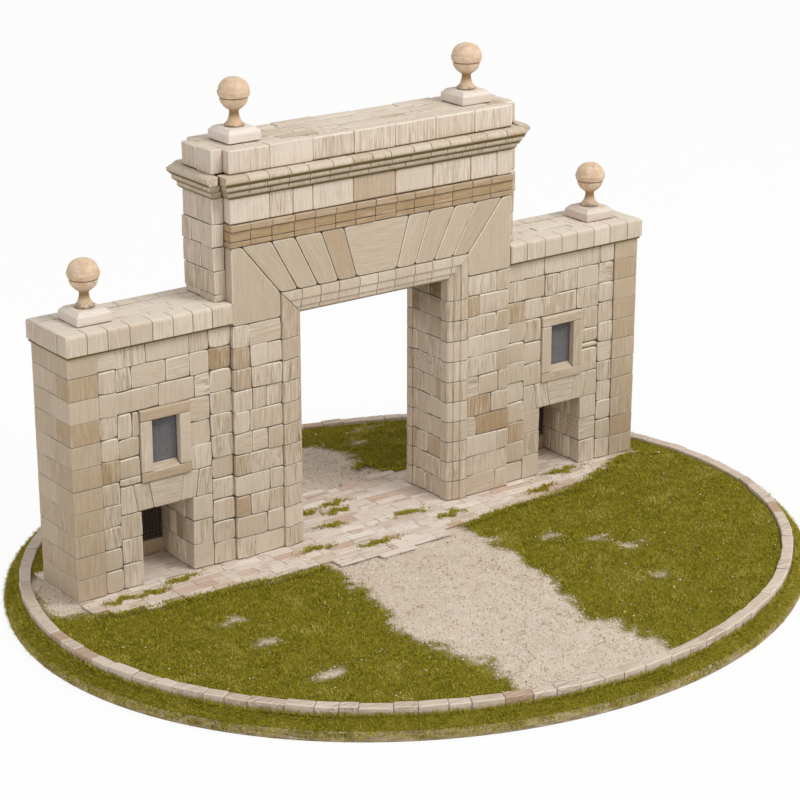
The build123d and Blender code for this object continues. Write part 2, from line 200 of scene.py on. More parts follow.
def addStone(pile, lo, hi, look, out=None, flow=None, finish=0, **tints):
    # squared stone with worn arrises, slightly out of true
    dice = pile.dice
    lo, hi = np.minimum(lo, hi) + look["gap"], np.maximum(lo, hi) - look["gap"]
    size = hi - lo
    worn = min(look["round"] * dice.uniform(*stoneShape["roundSpread"]), stoneShape["roundLimit"] * size.min())
    inner = size * stoneShape["innerShare"]
    levels = np.stack((lo, lo + worn, lo + inner, hi - inner, hi - worn, hi))
    points = np.take_along_axis(levels, shellSpots, 0)
    heart = np.clip(points, lo + worn, hi - worn)
    away = points - heart
    away /= np.linalg.norm(away, axis=1, keepdims=True)
    points = heart + away * worn
    points += away * (shellInner * look["bulge"] * dice.uniform(*stoneShape["bulgeSpread"]))[:, None]
    share = (points - lo) / size
    for corner in np.ndindex(2, 2, 2):
        pull = np.prod(np.where(corner, share, 1 - share), axis=1)
        points += pull[:, None] * dice.uniform(-1, 1, 3) * look["skew"]
    points += dice.normal(0, look["wobble"], points.shape)
    soft = look.get("soft", 0)
    if soft and out is not None:
        flat = [axis for axis in range(3) if not out[axis]]
        for corner in np.ndindex(2, 2):
            spot = np.where(corner, hi[flat], lo[flat])
            reach = soft * dice.uniform(0, stoneShape["softReach"])
            near = np.clip(1 - np.linalg.norm(points[:, flat] - spot, axis=1) / reach, 0, 1)
            inward = np.sign((lo + hi)[flat] / 2 - spot)
            points[:, flat] += inward * (near * reach * stoneShape["softPull"])[:, None]
    if dice.random() < look["chip"]:
        corner = np.where(dice.random(3) < 0.5, lo, hi)
        reach = dice.uniform(*stoneShape["chipReach"]) * look["round"] + stoneShape["chipLeast"]
        near = np.clip(1 - np.linalg.norm(points - corner, axis=1) / reach, 0, 1)
        inward = ((lo + hi) / 2 - corner) / np.linalg.norm(size)
        points += inward * (near * reach * stoneShape["chipPull"])[:, None]
    if out is not None:
        points += np.array(out) * dice.uniform(*stoneShape["proudSpread"]) * look["proud"]
    if flow is None:
        flow = zAxis if dice.random() < look.get("upright", stoneShape["upright"]) else xAxis
    tint = stoneTint(dice, look, len(points), shellArris, **tints)
    pile.add(points, shellQuads, tint, grainOf(points, flow, dice), finish)


def insetOutline(outline, depth, leastBend=0.35):
    before = outline - np.roll(outline, 1, 0)
    after = np.roll(outline, -1, 0) - outline
    before /= np.linalg.norm(before, axis=1, keepdims=True)
    after /= np.linalg.norm(after, axis=1, keepdims=True)
    inward = np.stack((-before[:, 1] - after[:, 1], before[:, 0] + after[:, 0]), 1)
    bend = 1 + np.einsum("ij,ij->i", before, after)
    return outline + depth * inward / np.maximum(bend, leastBend)[:, None]


def roundOutline(outline, radius, edgeShare=0.4, kneeShare=0.28):
    # worn corners on an outline that turns left, inner corners stay sharp
    rounded = []
    count = len(outline)
    for k in range(count):
        here, before, after = outline[k], outline[k - 1], outline[(k + 1) % count]
        into, away = before - here, after - here
        reach = min(radius, edgeShare * np.linalg.norm(into), edgeShare * np.linalg.norm(away))
        if into[0] * away[1] - into[1] * away[0] > 0:
            rounded.append(here)
            continue
        into, away = into / np.linalg.norm(into) * reach, away / np.linalg.norm(away) * reach
        rounded += [here + into, here + (into + away) * kneeShare, here + away]
    return np.array(rounded)


def wornRings(lo, hi, worn, kneeShare=0.3):
    # inset and level of each ring of a stone with both ends worn
    knee = kneeShare * worn
    return (worn, lo), (knee, lo + knee), (0, lo + worn), (0, hi - worn), (knee, hi - knee), (worn, hi)


arrisInset = 0.5  # rings inset by less than this are rubbed arrises


def addPrism(pile, outline, axes, rings, look, flow=zAxis, warp=None, corner=0.0, finish=0, **tints):
    # stone with any outline, drawn on two axes and carried along the third
    dice = pile.dice
    outline = np.array(outline, float)
    nextOne = np.roll(outline, -1, 0)
    if (outline[:, 0] * nextOne[:, 1] - outline[:, 1] * nextOne[:, 0]).sum() < 0:
        outline = outline[::-1]
    if corner:
        outline = roundOutline(outline, corner)
    count = len(outline)
    layers = []
    for inset, level in rings:
        layer = np.empty((count, 3))
        layer[:, axes[:2]] = insetOutline(outline, inset) if inset else outline
        layer[:, axes[2]] = level
        layers.append(layer)
    points = np.concatenate(layers)
    ring = np.arange(count)
    turned = np.roll(ring, -1)
    shell = []
    for k in range(len(rings) - 1):
        for i, j in zip(ring + k * count, turned + k * count):
            shell.append(np.array((i, j, j + count, i + count)))
    shell += [ring[::-1], ring + (len(rings) - 1) * count]
    if (axes[1] - axes[0]) % 3 != 1:
        shell = [face[::-1] for face in shell]
    if warp:
        points = warp(points)
    arris = [float(0 < inset < arrisInset) for inset, level in rings]
    arris[0] = arris[-1] = 0.0
    tint = stoneTint(dice, look, len(points), np.repeat(arris, count), **tints)
    pile.add(points, shell, tint, grainOf(points, flow, dice), finish)


def rectangle(lo, hi):
    return (lo[0], lo[1]), (hi[0], lo[1]), (hi[0], hi[1]), (lo[0], hi[1])


mortarLook = dict(brown=0, streak=0)
mortar = dict(worn=0.3, shallow=0.75, deep=0.9)


def addMortar(pile, lo, hi, depth=mortar["shallow"]):
    # joint filling behind the stones, just short of their faces
    lo, hi = np.minimum(lo, hi) + depth, np.maximum(lo, hi) - depth
    addPrism(pile, rectangle(lo, hi), [0, 1, 2], wornRings(lo[2], hi[2], mortar["worn"]), mortarLook, finish=1)


def between(edges):
    return list(zip(edges[:-1], edges[1:]))


def cut(lo, hi, shares):
    return between([lo, *(lo + share * (hi - lo) for share in shares), hi])


def run(lo, hi, pitch, dice, spread=0.1):
    # a row of about equal stones
    count = max(1, round((hi - lo) / pitch))
    shares = np.arange(1, count) / count + dice.uniform(-1, 1, count - 1) * spread / count
    return cut(lo, hi, shares)


def courses(lo, hi, count):
    return between(np.linspace(lo, hi, count + 1))


def ringQuads(steps, first=0, second=1):
    # faces between two rings of a round or oval skin
    ring = np.arange(steps)
    turned = np.roll(ring, -1)
    return np.stack((ring + first * steps, turned + first * steps, turned + second * steps, ring + second * steps), 1)


def circle(steps):
    return np.arange(steps) * 2 * math.pi / steps


def outwardOf(angle, *rise):
    return np.stack((np.cos(angle), np.sin(angle), *rise), 1)


print("stone shapes ready")


# finishes
def newFinish(name):
    finish = bpy.data.materials.new(name)
    finish.use_nodes = True
    return finish, finish.node_tree, finish.node_tree.nodes["Principled BSDF"]


def put(tree, kind, inputs=None, **settings):
    node = tree.nodes.new("ShaderNode" + kind)
    for key, value in settings.items():
        setattr(node, key, value)
    for key, value in (inputs or {}).items():
        if isinstance(value, bpy.types.NodeSocket):
            tree.links.new(value, node.inputs[key])
        else:
            node.inputs[key].default_value = value
    return node


def grainNoise(tree, vector, scale, detail=3.0, roughness=0.55):
    settings = {"Vector": vector, "Scale": scale, "Detail": detail, "Roughness": roughness}
    return put(tree, "TexNoise", settings).outputs["Fac"]


def remap(tree, value, lo, hi, toLo=0.0, toHi=1.0):
    settings = {"Value": value, "From Min": lo, "From Max": hi, "To Min": toLo, "To Max": toHi}
    return put(tree, "MapRange", settings).outputs["Result"]


def times(tree, a, b):
    return put(tree, "Math", {0: a, 1: b}, operation="MULTIPLY").outputs[0]


def paint(tree, amount, under, over, mode="MIX"):
    return put(tree, "Mix", {0: amount, 6: under, 7: over}, data_type="RGBA", blend_type=mode).outputs[2]


def colour(red, green, blue):
    # screen colour 0-255 to the linear one
    def linear(v):
        v /= 255
        return v / 12.92 if v <= 0.04045 else ((v + 0.055) / 1.055) ** 2.4
    return (linear(red), linear(green), linear(blue), 1.0)


def bumpInto(tree, shader, height, strength, distance):
    bump = put(tree, "Bump", {"Height": height, "Strength": strength, "Distance": distance})
    tree.links.new(bump.outputs["Normal"], shader.inputs["Normal"])


def tintParts(tree):
    # red, green, blue and alpha of the tint painted on the mesh
    tint = put(tree, "Attribute", attribute_name="tint").outputs
    return (*put(tree, "SeparateColor", {"Color": tint["Color"]}).outputs, tint["Alpha"])


def objectPlace(tree):
    return put(tree, "TexCoord").outputs["Object"]


def cover(tree, shader, base, rough):
    tree.links.new(base, shader.inputs["Base Color"])
    tree.links.new(rough, shader.inputs["Roughness"])


def stoneFinish(name, look):
    # cast block: fine lines along the grain, odd brown streaks, grime and painted shade in the joints, painted shade
    # under things, painted light on tops, pale arrises of wear and painted highlight
    finish, tree, shader = newFinish(name)
    tone, brown, streaky, arris = tintParts(tree)
    grain = put(tree, "Attribute", attribute_name="grain").outputs["Vector"]
    place = objectPlace(tree)
    fibre = grainNoise(tree, grain, look["fibreScale"], 4.0, 0.65)
    bands = grainNoise(tree, grain, look["bandScale"], 2.0, 0.5)
    mottle = grainNoise(tree, place, 160.0, 4.0, 0.6)
    pits = grainNoise(tree, place, 2600.0, 2.0, 0.6)
    base = paint(tree, tone, look["dark"], look["light"])
    base = paint(tree, brown, base, look["brown"])
    banded = times(tree, remap(tree, bands, 0.5, 0.72, 0, look["bandDepth"]), streaky)
    base = paint(tree, banded, base, look["streak"])
    lined = remap(tree, streaky, 0, 0.8, 0.12, look["fibreDepth"])
    base = paint(tree, times(tree, remap(tree, fibre, 0.55, 0.64), lined), base, look["streak"])
    base = paint(tree, times(tree, remap(tree, fibre, 0.45, 0.36), lined), base, look["pale"])
    crack = put(tree, "Math", {0: grainNoise(tree, grain, 0.5, 1.0), 1: 0.5}, operation="SUBTRACT").outputs[0]
    crack = remap(tree, put(tree, "Math", {0: crack}, operation="ABSOLUTE").outputs[0], 0.035, 0.01)
    cracked = times(tree, crack, remap(tree, streaky, 0.15, 0.8, 0.1, look["crackDepth"]))
    base = paint(tree, cracked, base, look["crack"])
    whiter = remap(tree, streaky, 0, 0.8, 0.08, 0.35)
    base = paint(tree, times(tree, remap(tree, bands, 0.48, 0.3), whiter), base, look["pale"])
    base = paint(tree, remap(tree, mottle, 0.5, 0.75, 0, 0.3), base, look["stain"])
    # pale arrises: rubbed wear and painted highlight
    wornAndLitArris = times(tree, remap(tree, mottle, 0.3, 0.55, 0.45, 1.0), arris)
    wornAndLitArris = times(tree, wornAndLitArris, remap(tree, brown, 0.3, 0.9, 1.0, 0.15))
    base = paint(tree, wornAndLitArris, base, look["arris"])
    normal = put(tree, "NewGeometry").outputs["Normal"]
    level = put(tree, "SeparateXYZ", {"Vector": normal}).outputs["Z"]
    # painted light: faces that look up are paler
    base = paint(tree, remap(tree, level, 0.5, 0.9, 0, look["topLightDepth"]), base, look["pale"])
    # painted shade: faces that look down turn olive
    base = paint(tree, remap(tree, level, -0.15, -0.6, 0, look["underShadeDepth"]), base, look["under"])
    # olive tint and painted shadow of the lintel, strongest towards the head of the opening
    if "oliveShadowBand" in look:
        height = put(tree, "SeparateXYZ", {"Vector": place}).outputs["Z"]
        oliveShadowMask = times(tree, remap(tree, height, *look["oliveShadowBand"]), remap(tree, mottle, 0.3, 0.6, 0.95, 0.6))
        base = paint(tree, oliveShadowMask, base, look["oliveShadowTone"])
    # grime and painted shade: darker in joints and crevices, found by ambient occlusion
    crevice = put(tree, "AmbientOcclusion", {"Distance": look["grimeShadeReach"]}, samples=6).outputs["AO"]
    patchy = remap(tree, grainNoise(tree, place, 75.0, 3.0), 0.38, 0.62, 0.45, 1.0)
    grimeAndShadeMask = times(tree, remap(tree, crevice, *look["grimeShadeSpan"], 0, look["grimeShadeDepth"]), patchy)
    base = paint(tree, grimeAndShadeMask, base, look["grimeAndShade"])
    cover(tree, shader, base, remap(tree, fibre, 0.3, 0.7, 0.72, 0.92))
    shader.inputs["Specular IOR Level"].default_value = 0.25
    relief = put(tree, "Math", {0: fibre, 1: pits}, operation="ADD").outputs[0]
    bumpInto(tree, shader, relief, look["relief"], 0.0003)
    return finish


creamLook = dict(
    dark=colour(201, 183, 161), light=colour(228, 214, 197), brown=colour(178, 150, 115), streak=colour(152, 122, 86),
    pale=colour(243, 234, 223), arris=colour(246, 238, 225), crack=colour(132, 103, 70), stain=colour(203, 186, 162),
    # grime with painted shade in the joints, and olive painted shade under things
    grimeAndShade=colour(100, 82, 52), under=colour(124, 106, 62),
    fibreScale=1.9, bandScale=0.9, bandDepth=0.35, fibreDepth=0.62, crackDepth=0.5, topLightDepth=0.2, underShadeDepth=0.7,
    grimeShadeReach=0.0009, grimeShadeDepth=0.85, grimeShadeSpan=(0.6, 0.15), relief=0.7,
)
creamStone = stoneFinish("creamCastStone", creamLook)
# coping with more painted light on its top faces
copingStone = stoneFinish("copingCastStone", dict(creamLook, topLightDepth=0.55))
# olive tint and painted shadow of the lintel towards the head of the opening, as heights in metres
oliveShadowStone = stoneFinish("oliveShadowCastStone", dict(creamLook, oliveShadowBand=(0.092, 0.118), oliveShadowTone=colour(98, 81, 38)))
# painted light: a paler, warmer copy for the insides of the passages, with less grime and painted shade
litInnerStone = stoneFinish("litInnerCastStone", dict(
    creamLook, dark=colour(248, 230, 200), light=colour(253, 242, 222), grimeShadeDepth=0.5, underShadeDepth=0.1,
))
chalkStone = stoneFinish("chalkyCastStone", dict(
    creamLook, dark=colour(208, 190, 170), light=colour(232, 218, 203), streak=colour(150, 112, 78),
    grimeAndShade=colour(132, 100, 62), fibreScale=2.0, fibreDepth=0.52, crackDepth=0.35, bandDepth=0.3, grimeShadeReach=0.0016,
))
paleLook = dict(
    creamLook, dark=colour(225, 209, 197), light=colour(243, 233, 224), brown=colour(203, 168, 146),
    streak=colour(172, 134, 108), stain=colour(218, 200, 186), grimeAndShade=colour(112, 92, 66), fibreScale=1.6,
    bandDepth=0.48, topLightDepth=0.0,
)
paleTile = stoneFinish("paleCastTile", paleLook)
kerbTile = stoneFinish("weatheredCastTile", dict(
    paleLook, dark=colour(205, 187, 169), light=colour(239, 227, 215), brown=colour(184, 150, 126),
    streak=colour(146, 116, 88), stain=colour(186, 168, 146), grimeAndShade=colour(98, 84, 48), grimeShadeReach=0.002,
))
# fillings between the stones
fillLook = dict(creamLook, relief=0.6)
jointFill = stoneFinish("jointFill", dict(
    fillLook, arris=colour(150, 131, 102), dark=colour(122, 104, 74), light=colour(144, 125, 94),
    brown=colour(114, 97, 68), pale=colour(150, 131, 102), streak=colour(100, 83, 56), stain=colour(120, 105, 70),
))
warmFill = stoneFinish("warmFill", dict(
    fillLook, arris=colour(170, 142, 100), dark=colour(150, 121, 78), light=colour(176, 149, 106),
    brown=colour(146, 118, 78), pale=colour(182, 156, 116), streak=colour(124, 96, 56), stain=colour(144, 118, 74),
))
# olive for the bead under the coping, partly painted shade
oliveFill = stoneFinish("oliveFill", dict(
    fillLook, arris=colour(158, 140, 92), dark=colour(112, 96, 50), light=colour(138, 121, 70),
    brown=colour(108, 90, 50), pale=colour(158, 140, 92), streak=colour(90, 76, 38), stain=colour(116, 100, 56),
))
# cornice: stronger olive grime and painted shade in the joints and under each tier
corniceStone = stoneFinish("corniceCastStone", dict(
    creamLook, grimeAndShade=colour(134, 115, 58), under=colour(118, 101, 48), grimeShadeReach=0.0026, grimeShadeDepth=0.95,
    grimeShadeSpan=(0.8, 0.3), underShadeDepth=0.95,
))
print("stone finishes ready")


# wings
neat = dict(
    round=0.28, gap=0.06, skew=0.07, bulge=0.02, wobble=0.012, chip=0.12, brown=0.2, streak=0.35, proud=0.08, arrisWearAndHighlight=0.6,
)
rubble = dict(
    round=0.55, gap=0.05, skew=0.24, bulge=0.05, wobble=0.025, chip=0.25, brown=0.05, streak=0.8, proud=0.45, soft=0.8,
)
quoinPier = dict(
    courses=11, stripWidth=9.0, stripHalfDepth=15.4, stripStone=7.0, warm=((0.25, 0.55), (0.4, 0.75)), rearShare=0.6,
    tone=-0.2,
    ends=((0.5,), (0.36, 0.7), (0.53,), (0.3, 0.62), (0.48,), (0.34, 0.74), (0.55,), (0.4, 0.66)),
)


def buildQuoinPier(name, side):
    pile = Pile(f"{name}_quoin_pier_stones")
    lo, hi = span(f"{name}_quoin_pier")
    width, depth = hi[0] - lo[0], quoinPier["stripHalfDepth"]
    outer = hi[0] if side > 0 else -lo[0]
    inner = outer - width
    strip = inner + quoinPier["stripWidth"]
    quoinX, stripX = ordered(side, strip, outer), ordered(side, inner, strip)
    for k, (foot, head) in enumerate(courses(lo[2], hi[2], quoinPier["courses"])):
        for near, far in cut(lo[1], hi[1], quoinPier["ends"][k % len(quoinPier["ends"])]):
            warm = pile.dice.uniform(*quoinPier["warm"][k % 2]) * (1 if near == lo[1] else quoinPier["rearShare"])
            addStone(pile, (quoinX[0], near, foot), (quoinX[1], far, head), neat, flow=zAxis, brown=warm,
                     tone=quoinPier["tone"])
        for front in ways:
            near, far = ordered(front, depth, depth - quoinPier["stripStone"])
            addStone(pile, (stripX[0], near, foot), (stripX[1], far, head), rubble, (0, front, 0))
    addMortar(pile, (quoinX[0], lo[1], lo[2]), (quoinX[1], hi[1], hi[2]))
    addMortar(pile, (stripX[0], -depth, lo[2]), (stripX[1], depth, hi[2]), mortar["deep"])
    makePiece(pile, (creamStone, jointFill), [f"{name}_quoin_pier"])


pilaster = dict(courses=11, stone=7.0)


def buildPilaster(name):
    pile = Pile(f"{name}_pilaster_stones")
    lo, hi = span(f"{name}_pilaster")
    for front in ways:
        near, far = ordered(front, hi[1], hi[1] - pilaster["stone"])
        for foot, head in courses(lo[2], hi[2], pilaster["courses"]):
            addStone(pile, (lo[0], near, foot), (hi[0], far, head), rubble, (0, front, 0))
    addMortar(pile, lo, hi, mortar["deep"])
    makePiece(pile, (creamStone, jointFill), [f"{name}_pilaster"])


passage = dict(
    courses=3, pier=10.2, jambStone=7.5, bond=2.5, innerJoint=0.38, innerBond=0.2, ceilingPitch=11.0, fill=0.8,
)
# the left-hand pier of the left doorway has a split stone in its middle course
splitStone = dict(course=1, beyond=-100, joint=0.45)
jambLook = dict(rubble, round=0.45, soft=0.35, proud=0.3)
innerLook = dict(rubble, round=0.6)


def buildPassage(name):
    pile = Pile(f"{name}_passage_wall_stones")
    lo, hi = span(f"{name}_passage_walls")
    for xLo, xHi in ((lo[0], lo[0] + passage["pier"]), (hi[0] - passage["pier"], hi[0])):
        for k, (foot, head) in enumerate(courses(lo[2], hi[2], passage["courses"])):
            inner = passage["jambStone"] + passage["bond"] * (k % 2)
            split = k == splitStone["course"] and xLo < splitStone["beyond"]
            for front in ways:
                near, far = ordered(front, hi[1], hi[1] - inner)
                for start, end in cut(xLo, xHi, (splitStone["joint"],) if split else ()):
                    addStone(pile, (start, near, foot), (end, far, head), jambLook, (0, front, 0))
            joint = passage["innerJoint"] + passage["innerBond"] * (k % 2)
            for near, far in cut(lo[1] + inner, hi[1] - inner, (joint,)):
                addStone(pile, (xLo, near, foot), (xHi, far, head), innerLook, finish=2)
        addMortar(pile, (xLo, lo[1], lo[2]), (xHi, hi[1], hi[2]), passage["fill"])
    makePiece(pile, (creamStone, jointFill, litInnerStone), [f"{name}_passage_walls"])
    pile = Pile(f"{name}_passage_ceiling_slabs")
    lo, hi = span(f"{name}_passage_ceiling")
    for start, end in run(lo[0], hi[0], passage["ceilingPitch"], pile.dice):
        addStone(pile, (start, lo[1], lo[2]), (end, hi[1], hi[2]), neat, flow=yAxis)
    addMortar(pile, lo, hi)
    makePiece(pile, (litInnerStone, jointFill), [f"{name}_passage_ceiling"])


passageEnd = dict(joint=0.44, pitch=1.7, wire=0.25, brown=0.6, look=dict(rubble, round=0.4))
wireDepth = 0.35  # of the weave behind the front of its solid


def buildPassageEnd(name):
    # low course closing the doorway, dark screen above it
    pile = Pile(f"{name}_passage_step_stones")
    lo, hi = span(f"{name}_passage_step")
    for start, end in cut(lo[0], hi[0], (passageEnd["joint"],)):
        addStone(pile, (start, lo[1], lo[2]), (end, hi[1], hi[2]), passageEnd["look"], (0, -1, 0),
                 brown=passageEnd["brown"])
    makePiece(pile, (creamStone,), [f"{name}_passage_step"])
    pile = Pile(f"{name}_passage_screen_weave")
    lo, hi = span(f"{name}_passage_screen")
    weave(pile, lo, hi, lo[1] + wireDepth, 1, passageEnd["pitch"], passageEnd["wire"])
    makePiece(pile, (darkWire, darkBack), [f"{name}_passage_screen"])


doorLintel = dict(
    top=(16.6, 8.8), foot=(14.7, 6.7), depth=6.0, worn=0.4, gap=0.11, corner=0.6, proud=(-0.25, 0.1),
    look=dict(rubble, brown=0),
)


def buildDoorLintels(name):
    pile = Pile(f"{name}_door_lintel_stones")
    lo, hi = span(f"{name}_door_lintels")
    middle, half = (lo[0] + hi[0]) / 2, (hi[0] - lo[0]) / 2
    tops = [-half, *(-v for v in doorLintel["top"]), *reversed(doorLintel["top"]), half]
    feet = [-half, *(-v for v in doorLintel["foot"]), *reversed(doorLintel["foot"]), half]
    gap = doorLintel["gap"]
    for front in ways:
        near, far = ordered(front, hi[1], hi[1] - doorLintel["depth"])
        for k in range(len(tops) - 1):
            outline = ((middle + feet[k] + gap, lo[2] + gap), (middle + feet[k + 1] - gap, lo[2] + gap),
                       (middle + tops[k + 1] - gap, hi[2] - gap), (middle + tops[k] + gap, hi[2] - gap))
            shift = pile.dice.uniform(*doorLintel["proud"])
            rings = wornRings(near + shift, far + shift, doorLintel["worn"])
            lean = np.array((tops[k] - feet[k], 0, hi[2] - lo[2]))
            flow = xAxis if k == 2 else lean / np.linalg.norm(lean)
            addPrism(pile, outline, [0, 2, 1], rings, doorLintel["look"], flow, corner=doorLintel["corner"])
        addMortar(pile, (lo[0], near, lo[2]), (hi[0], far, hi[2]), mortar["deep"])
    makePiece(pile, (creamStone, jointFill), [f"{name}_door_lintels"])


# courses of each bay as foot, head and joints counted from its left end
bayCourses = dict(
    left=(
        (100.9, 111.2, (0, 14.7, 36.2, 46.2)), (90.5, 100.9, (0, 7.5, 24.7, 36.4, 46.2)),
        (80.2, 90.5, (0, 20.9, 38.5, 46.2)), (69.0, 80.2, (0, 7.1, 10.65)), (60.0, 69.0, (0, 10.65)),
        (50.8, 60.0, (0, 10.65)), (47.2, 50.8, (0, 10.65)), (69.2, 80.2, (35.55, 46.2)),
        (58.3, 69.2, (35.55, 46.2)), (47.2, 58.3, (35.55, 46.2)),
    ),
    right=(
        (100.9, 111.2, (0, 11.9, 33.9, 46.2)), (90.5, 100.9, (0, 12.2, 21.7, 32.6, 46.2)),
        (80.2, 90.5, (0, 10.6, 32.3, 46.2)), (69.2, 80.2, (0, 10.65)), (58.3, 69.2, (0, 10.65)),
        (47.2, 58.3, (0, 10.65)), (69.2, 80.2, (35.55, 38.0, 46.2)), (62.0, 69.2, (35.55, 46.2)),
        (59.2, 62.0, (35.55, 46.2)), (47.2, 59.2, (35.55, 46.2)),
    ),
)
bayFill = dict(beside=1.0, above=0.85)


def buildWall(name, face, front):
    pile = Pile(f"{name}_{face}_wall_stones")
    lo, hi = span(f"{name}_{face}_wall")
    frameLo, frameHi = span(f"{name}_window_frames")
    for foot, head, joints in bayCourses[name if front < 0 else otherSide[name]]:
        for start, end in between(joints):
            addStone(pile, (lo[0] + start, lo[1], foot), (lo[0] + end, hi[1], head), rubble, (0, front, 0))
    beside, above = bayFill["beside"], bayFill["above"]
    for start, end, foot, depth in (
        (lo[0], frameLo[0], lo[2], beside), (frameHi[0], hi[0], lo[2], beside), (lo[0], hi[0], frameHi[2], above),
    ):
        addMortar(pile, (start, lo[1], foot), (end, hi[1], hi[2]), depth)
    makePiece(pile, (creamStone, jointFill), [f"{name}_{face}_wall"])


window = dict(
    headHeight=5.1, sillHeight=4.6, lightHalf=6.9, frameDepth=3.7, slope=2.3, slopeSink=0.3, slopeTrim=0.25,
    slopeWorn=0.2, brown=dict(left=(0.62, 0.7), right=(0.22, 0.4)), postBrown=0.1, slopeBrown=0.55, pitch=0.9,
    wire=0.18, look=dict(neat, round=0.35, chip=0.25, streak=0.5, brown=0),
)


def buildWindows(name):
    pile = Pile(f"{name}_window_frame_stones")
    lo, hi = span(f"{name}_window_frames")
    middle = (lo[0] + hi[0]) / 2
    sillTop, headFoot = lo[2] + window["sillHeight"], hi[2] - window["headHeight"]
    smooth = window["look"]
    headBrown, sillBrown = window["brown"][name]
    for front in ways:
        near, far = ordered(front, hi[1], hi[1] - window["frameDepth"])
        addStone(pile, (lo[0], near, headFoot), (hi[0], far, hi[2]), smooth, flow=xAxis, brown=headBrown)
        addStone(pile, (lo[0], near, lo[2]), (hi[0], far, sillTop), smooth, flow=xAxis, brown=sillBrown)
        for hand in ways:
            edges = ordered(hand, window["lightHalf"], (hi[0] - lo[0]) / 2)
            addStone(pile, (middle + edges[0], near, sillTop), (middle + edges[1], far, headFoot), smooth,
                     brown=window["postBrown"])
        outside, inside = front * hi[1], front * (hi[1] - window["frameDepth"])
        foot = sillTop - window["slopeSink"]
        slope = ((outside, foot), (inside, sillTop + window["slope"]), (inside, foot))
        reach = window["lightHalf"] - window["slopeTrim"]
        rings = wornRings(middle - reach, middle + reach, window["slopeWorn"])
        addPrism(pile, slope, [1, 2, 0], rings, smooth, xAxis, brown=window["slopeBrown"])
    makePiece(pile, (creamStone, jointFill), [f"{name}_window_frames"])

    pile = Pile(f"{name}_window_weave")
    lo, hi = span(f"{name}_window_meshes")
    for front in ways:
        weave(pile, lo, hi, front * (hi[1] - wireDepth), -front, window["pitch"], window["wire"])
    makePiece(pile, (wireFinish, screenBack), [f"{name}_window_meshes"])


backing = dict(near=0.45, far=0.8, worn=0.1, corner=0.5)


def weave(pile, lo, hi, depth, inward, pitch, wire):
    # plain weave of round wires in front of a thin backing
    counts = [round((hi[axis] - lo[axis]) / pitch) for axis in (0, 2)]
    for axis, cross, count, steps, way in ((0, 2, counts[1], counts[0], 1), (2, 0, counts[0], counts[1], -1)):
        for k in range(count):
            path = np.empty((2 * steps + 1, 3))
            path[:, axis] = np.linspace(lo[axis], hi[axis], len(path))
            path[:, cross] = lo[cross] + (k + 0.5) * (hi[cross] - lo[cross]) / count
            path[:, 1] = depth + way * wire * np.sin(np.pi * (np.arange(len(path)) / 2 + 0.5 + k))
            addWire(pile, path, wire, *((1, 2) if axis == 0 else (0, 1)))
    near, far = sorted((depth + inward * backing["near"], depth + inward * backing["far"]))
    outline = rectangle(lo[[0, 2]], hi[[0, 2]])
    rings = wornRings(near, far, backing["worn"])
    addPrism(pile, outline, [0, 2, 1], rings, mortarLook, corner=backing["corner"], finish=1)


wireGrain = 50


def addWire(pile, path, radius, first, second):
    # four-sided wire along a path, with the two axes its section lies on
    count = len(path)
    points = np.repeat(path, 4, 0)
    for k, (u, v) in enumerate(((1, 0), (0, 1), (-1, 0), (0, -1))):
        points[k::4, first] += radius * u
        points[k::4, second] += radius * v
    ring = np.arange(4)
    quads = np.stack((ring, (ring + 1) % 4, (ring + 1) % 4 + 4, ring + 4), 1)
    shell = (quads[None] + 4 * np.arange(count - 1)[:, None, None]).reshape(-1, 4)
    shell = np.concatenate((shell, [ring[::-1], ring + 4 * (count - 1)]))
    grain = points + pile.dice.uniform(0, wireGrain, 3)
    pile.add(points, shell, stoneTint(pile.dice, mortarLook, len(points), 0.0), grain)


def weaveFinish(name, dark, light, shine):
    finish, tree, shader = newFinish(name)
    tone = tintParts(tree)[0]
    speckle = grainNoise(tree, objectPlace(tree), 900.0, 3.0)
    base = paint(tree, tone, dark, light)
    glint = tuple(v * 1.25 for v in light[:3]) + (1,)
    base = paint(tree, remap(tree, speckle, 0.45, 0.7, 0, 0.5), base, glint)
    cover(tree, shader, base, remap(tree, speckle, 0.3, 0.7, 0.45, 0.75))
    shader.inputs["Metallic"].default_value = shine
    bumpInto(tree, shader, speckle, 0.3, 0.0001)
    return finish


wireFinish = weaveFinish("windowWire", colour(126, 126, 129), colour(150, 149, 151), 0.1)
screenBack = weaveFinish("windowScreenBack", colour(104, 104, 107), colour(118, 118, 121), 0.0)
darkWire = weaveFinish("darkScreenWire", colour(76, 65, 57), colour(92, 79, 69), 0.0)
darkBack = weaveFinish("darkScreenBack", colour(62, 52, 45), colour(74, 63, 54), 0.0)
coping = dict(
    stone=10.7, endStone=9.0, spread=0.08, rowDepth=8.4, rounding=1.7, worn=0.3, gap=0.13, trim=0.05, sink=0.1,
    tone=0.15, tileThickness=1.6, tilePitch=13.0, tileRows=3, fillBack=0.3, fill=0.7, bead=1.3, beadBack=1.1,
    beadEnd=0.6, beadWorn=0.3, look=dict(neat, brown=0, streak=0.4),
)


def roundedEdge(face, top, foot, depth, rounding, way):
    # section of an edge block: local x runs inward from the face
    arc = [(rounding * (1 - math.sin(a)), top - rounding * (1 - math.cos(a))) for a in np.linspace(0, math.pi / 2, 4)]
    section = [(0, foot), (depth, foot), (depth, top), *arc]
    return [(face - way * x, z) for x, z in section]


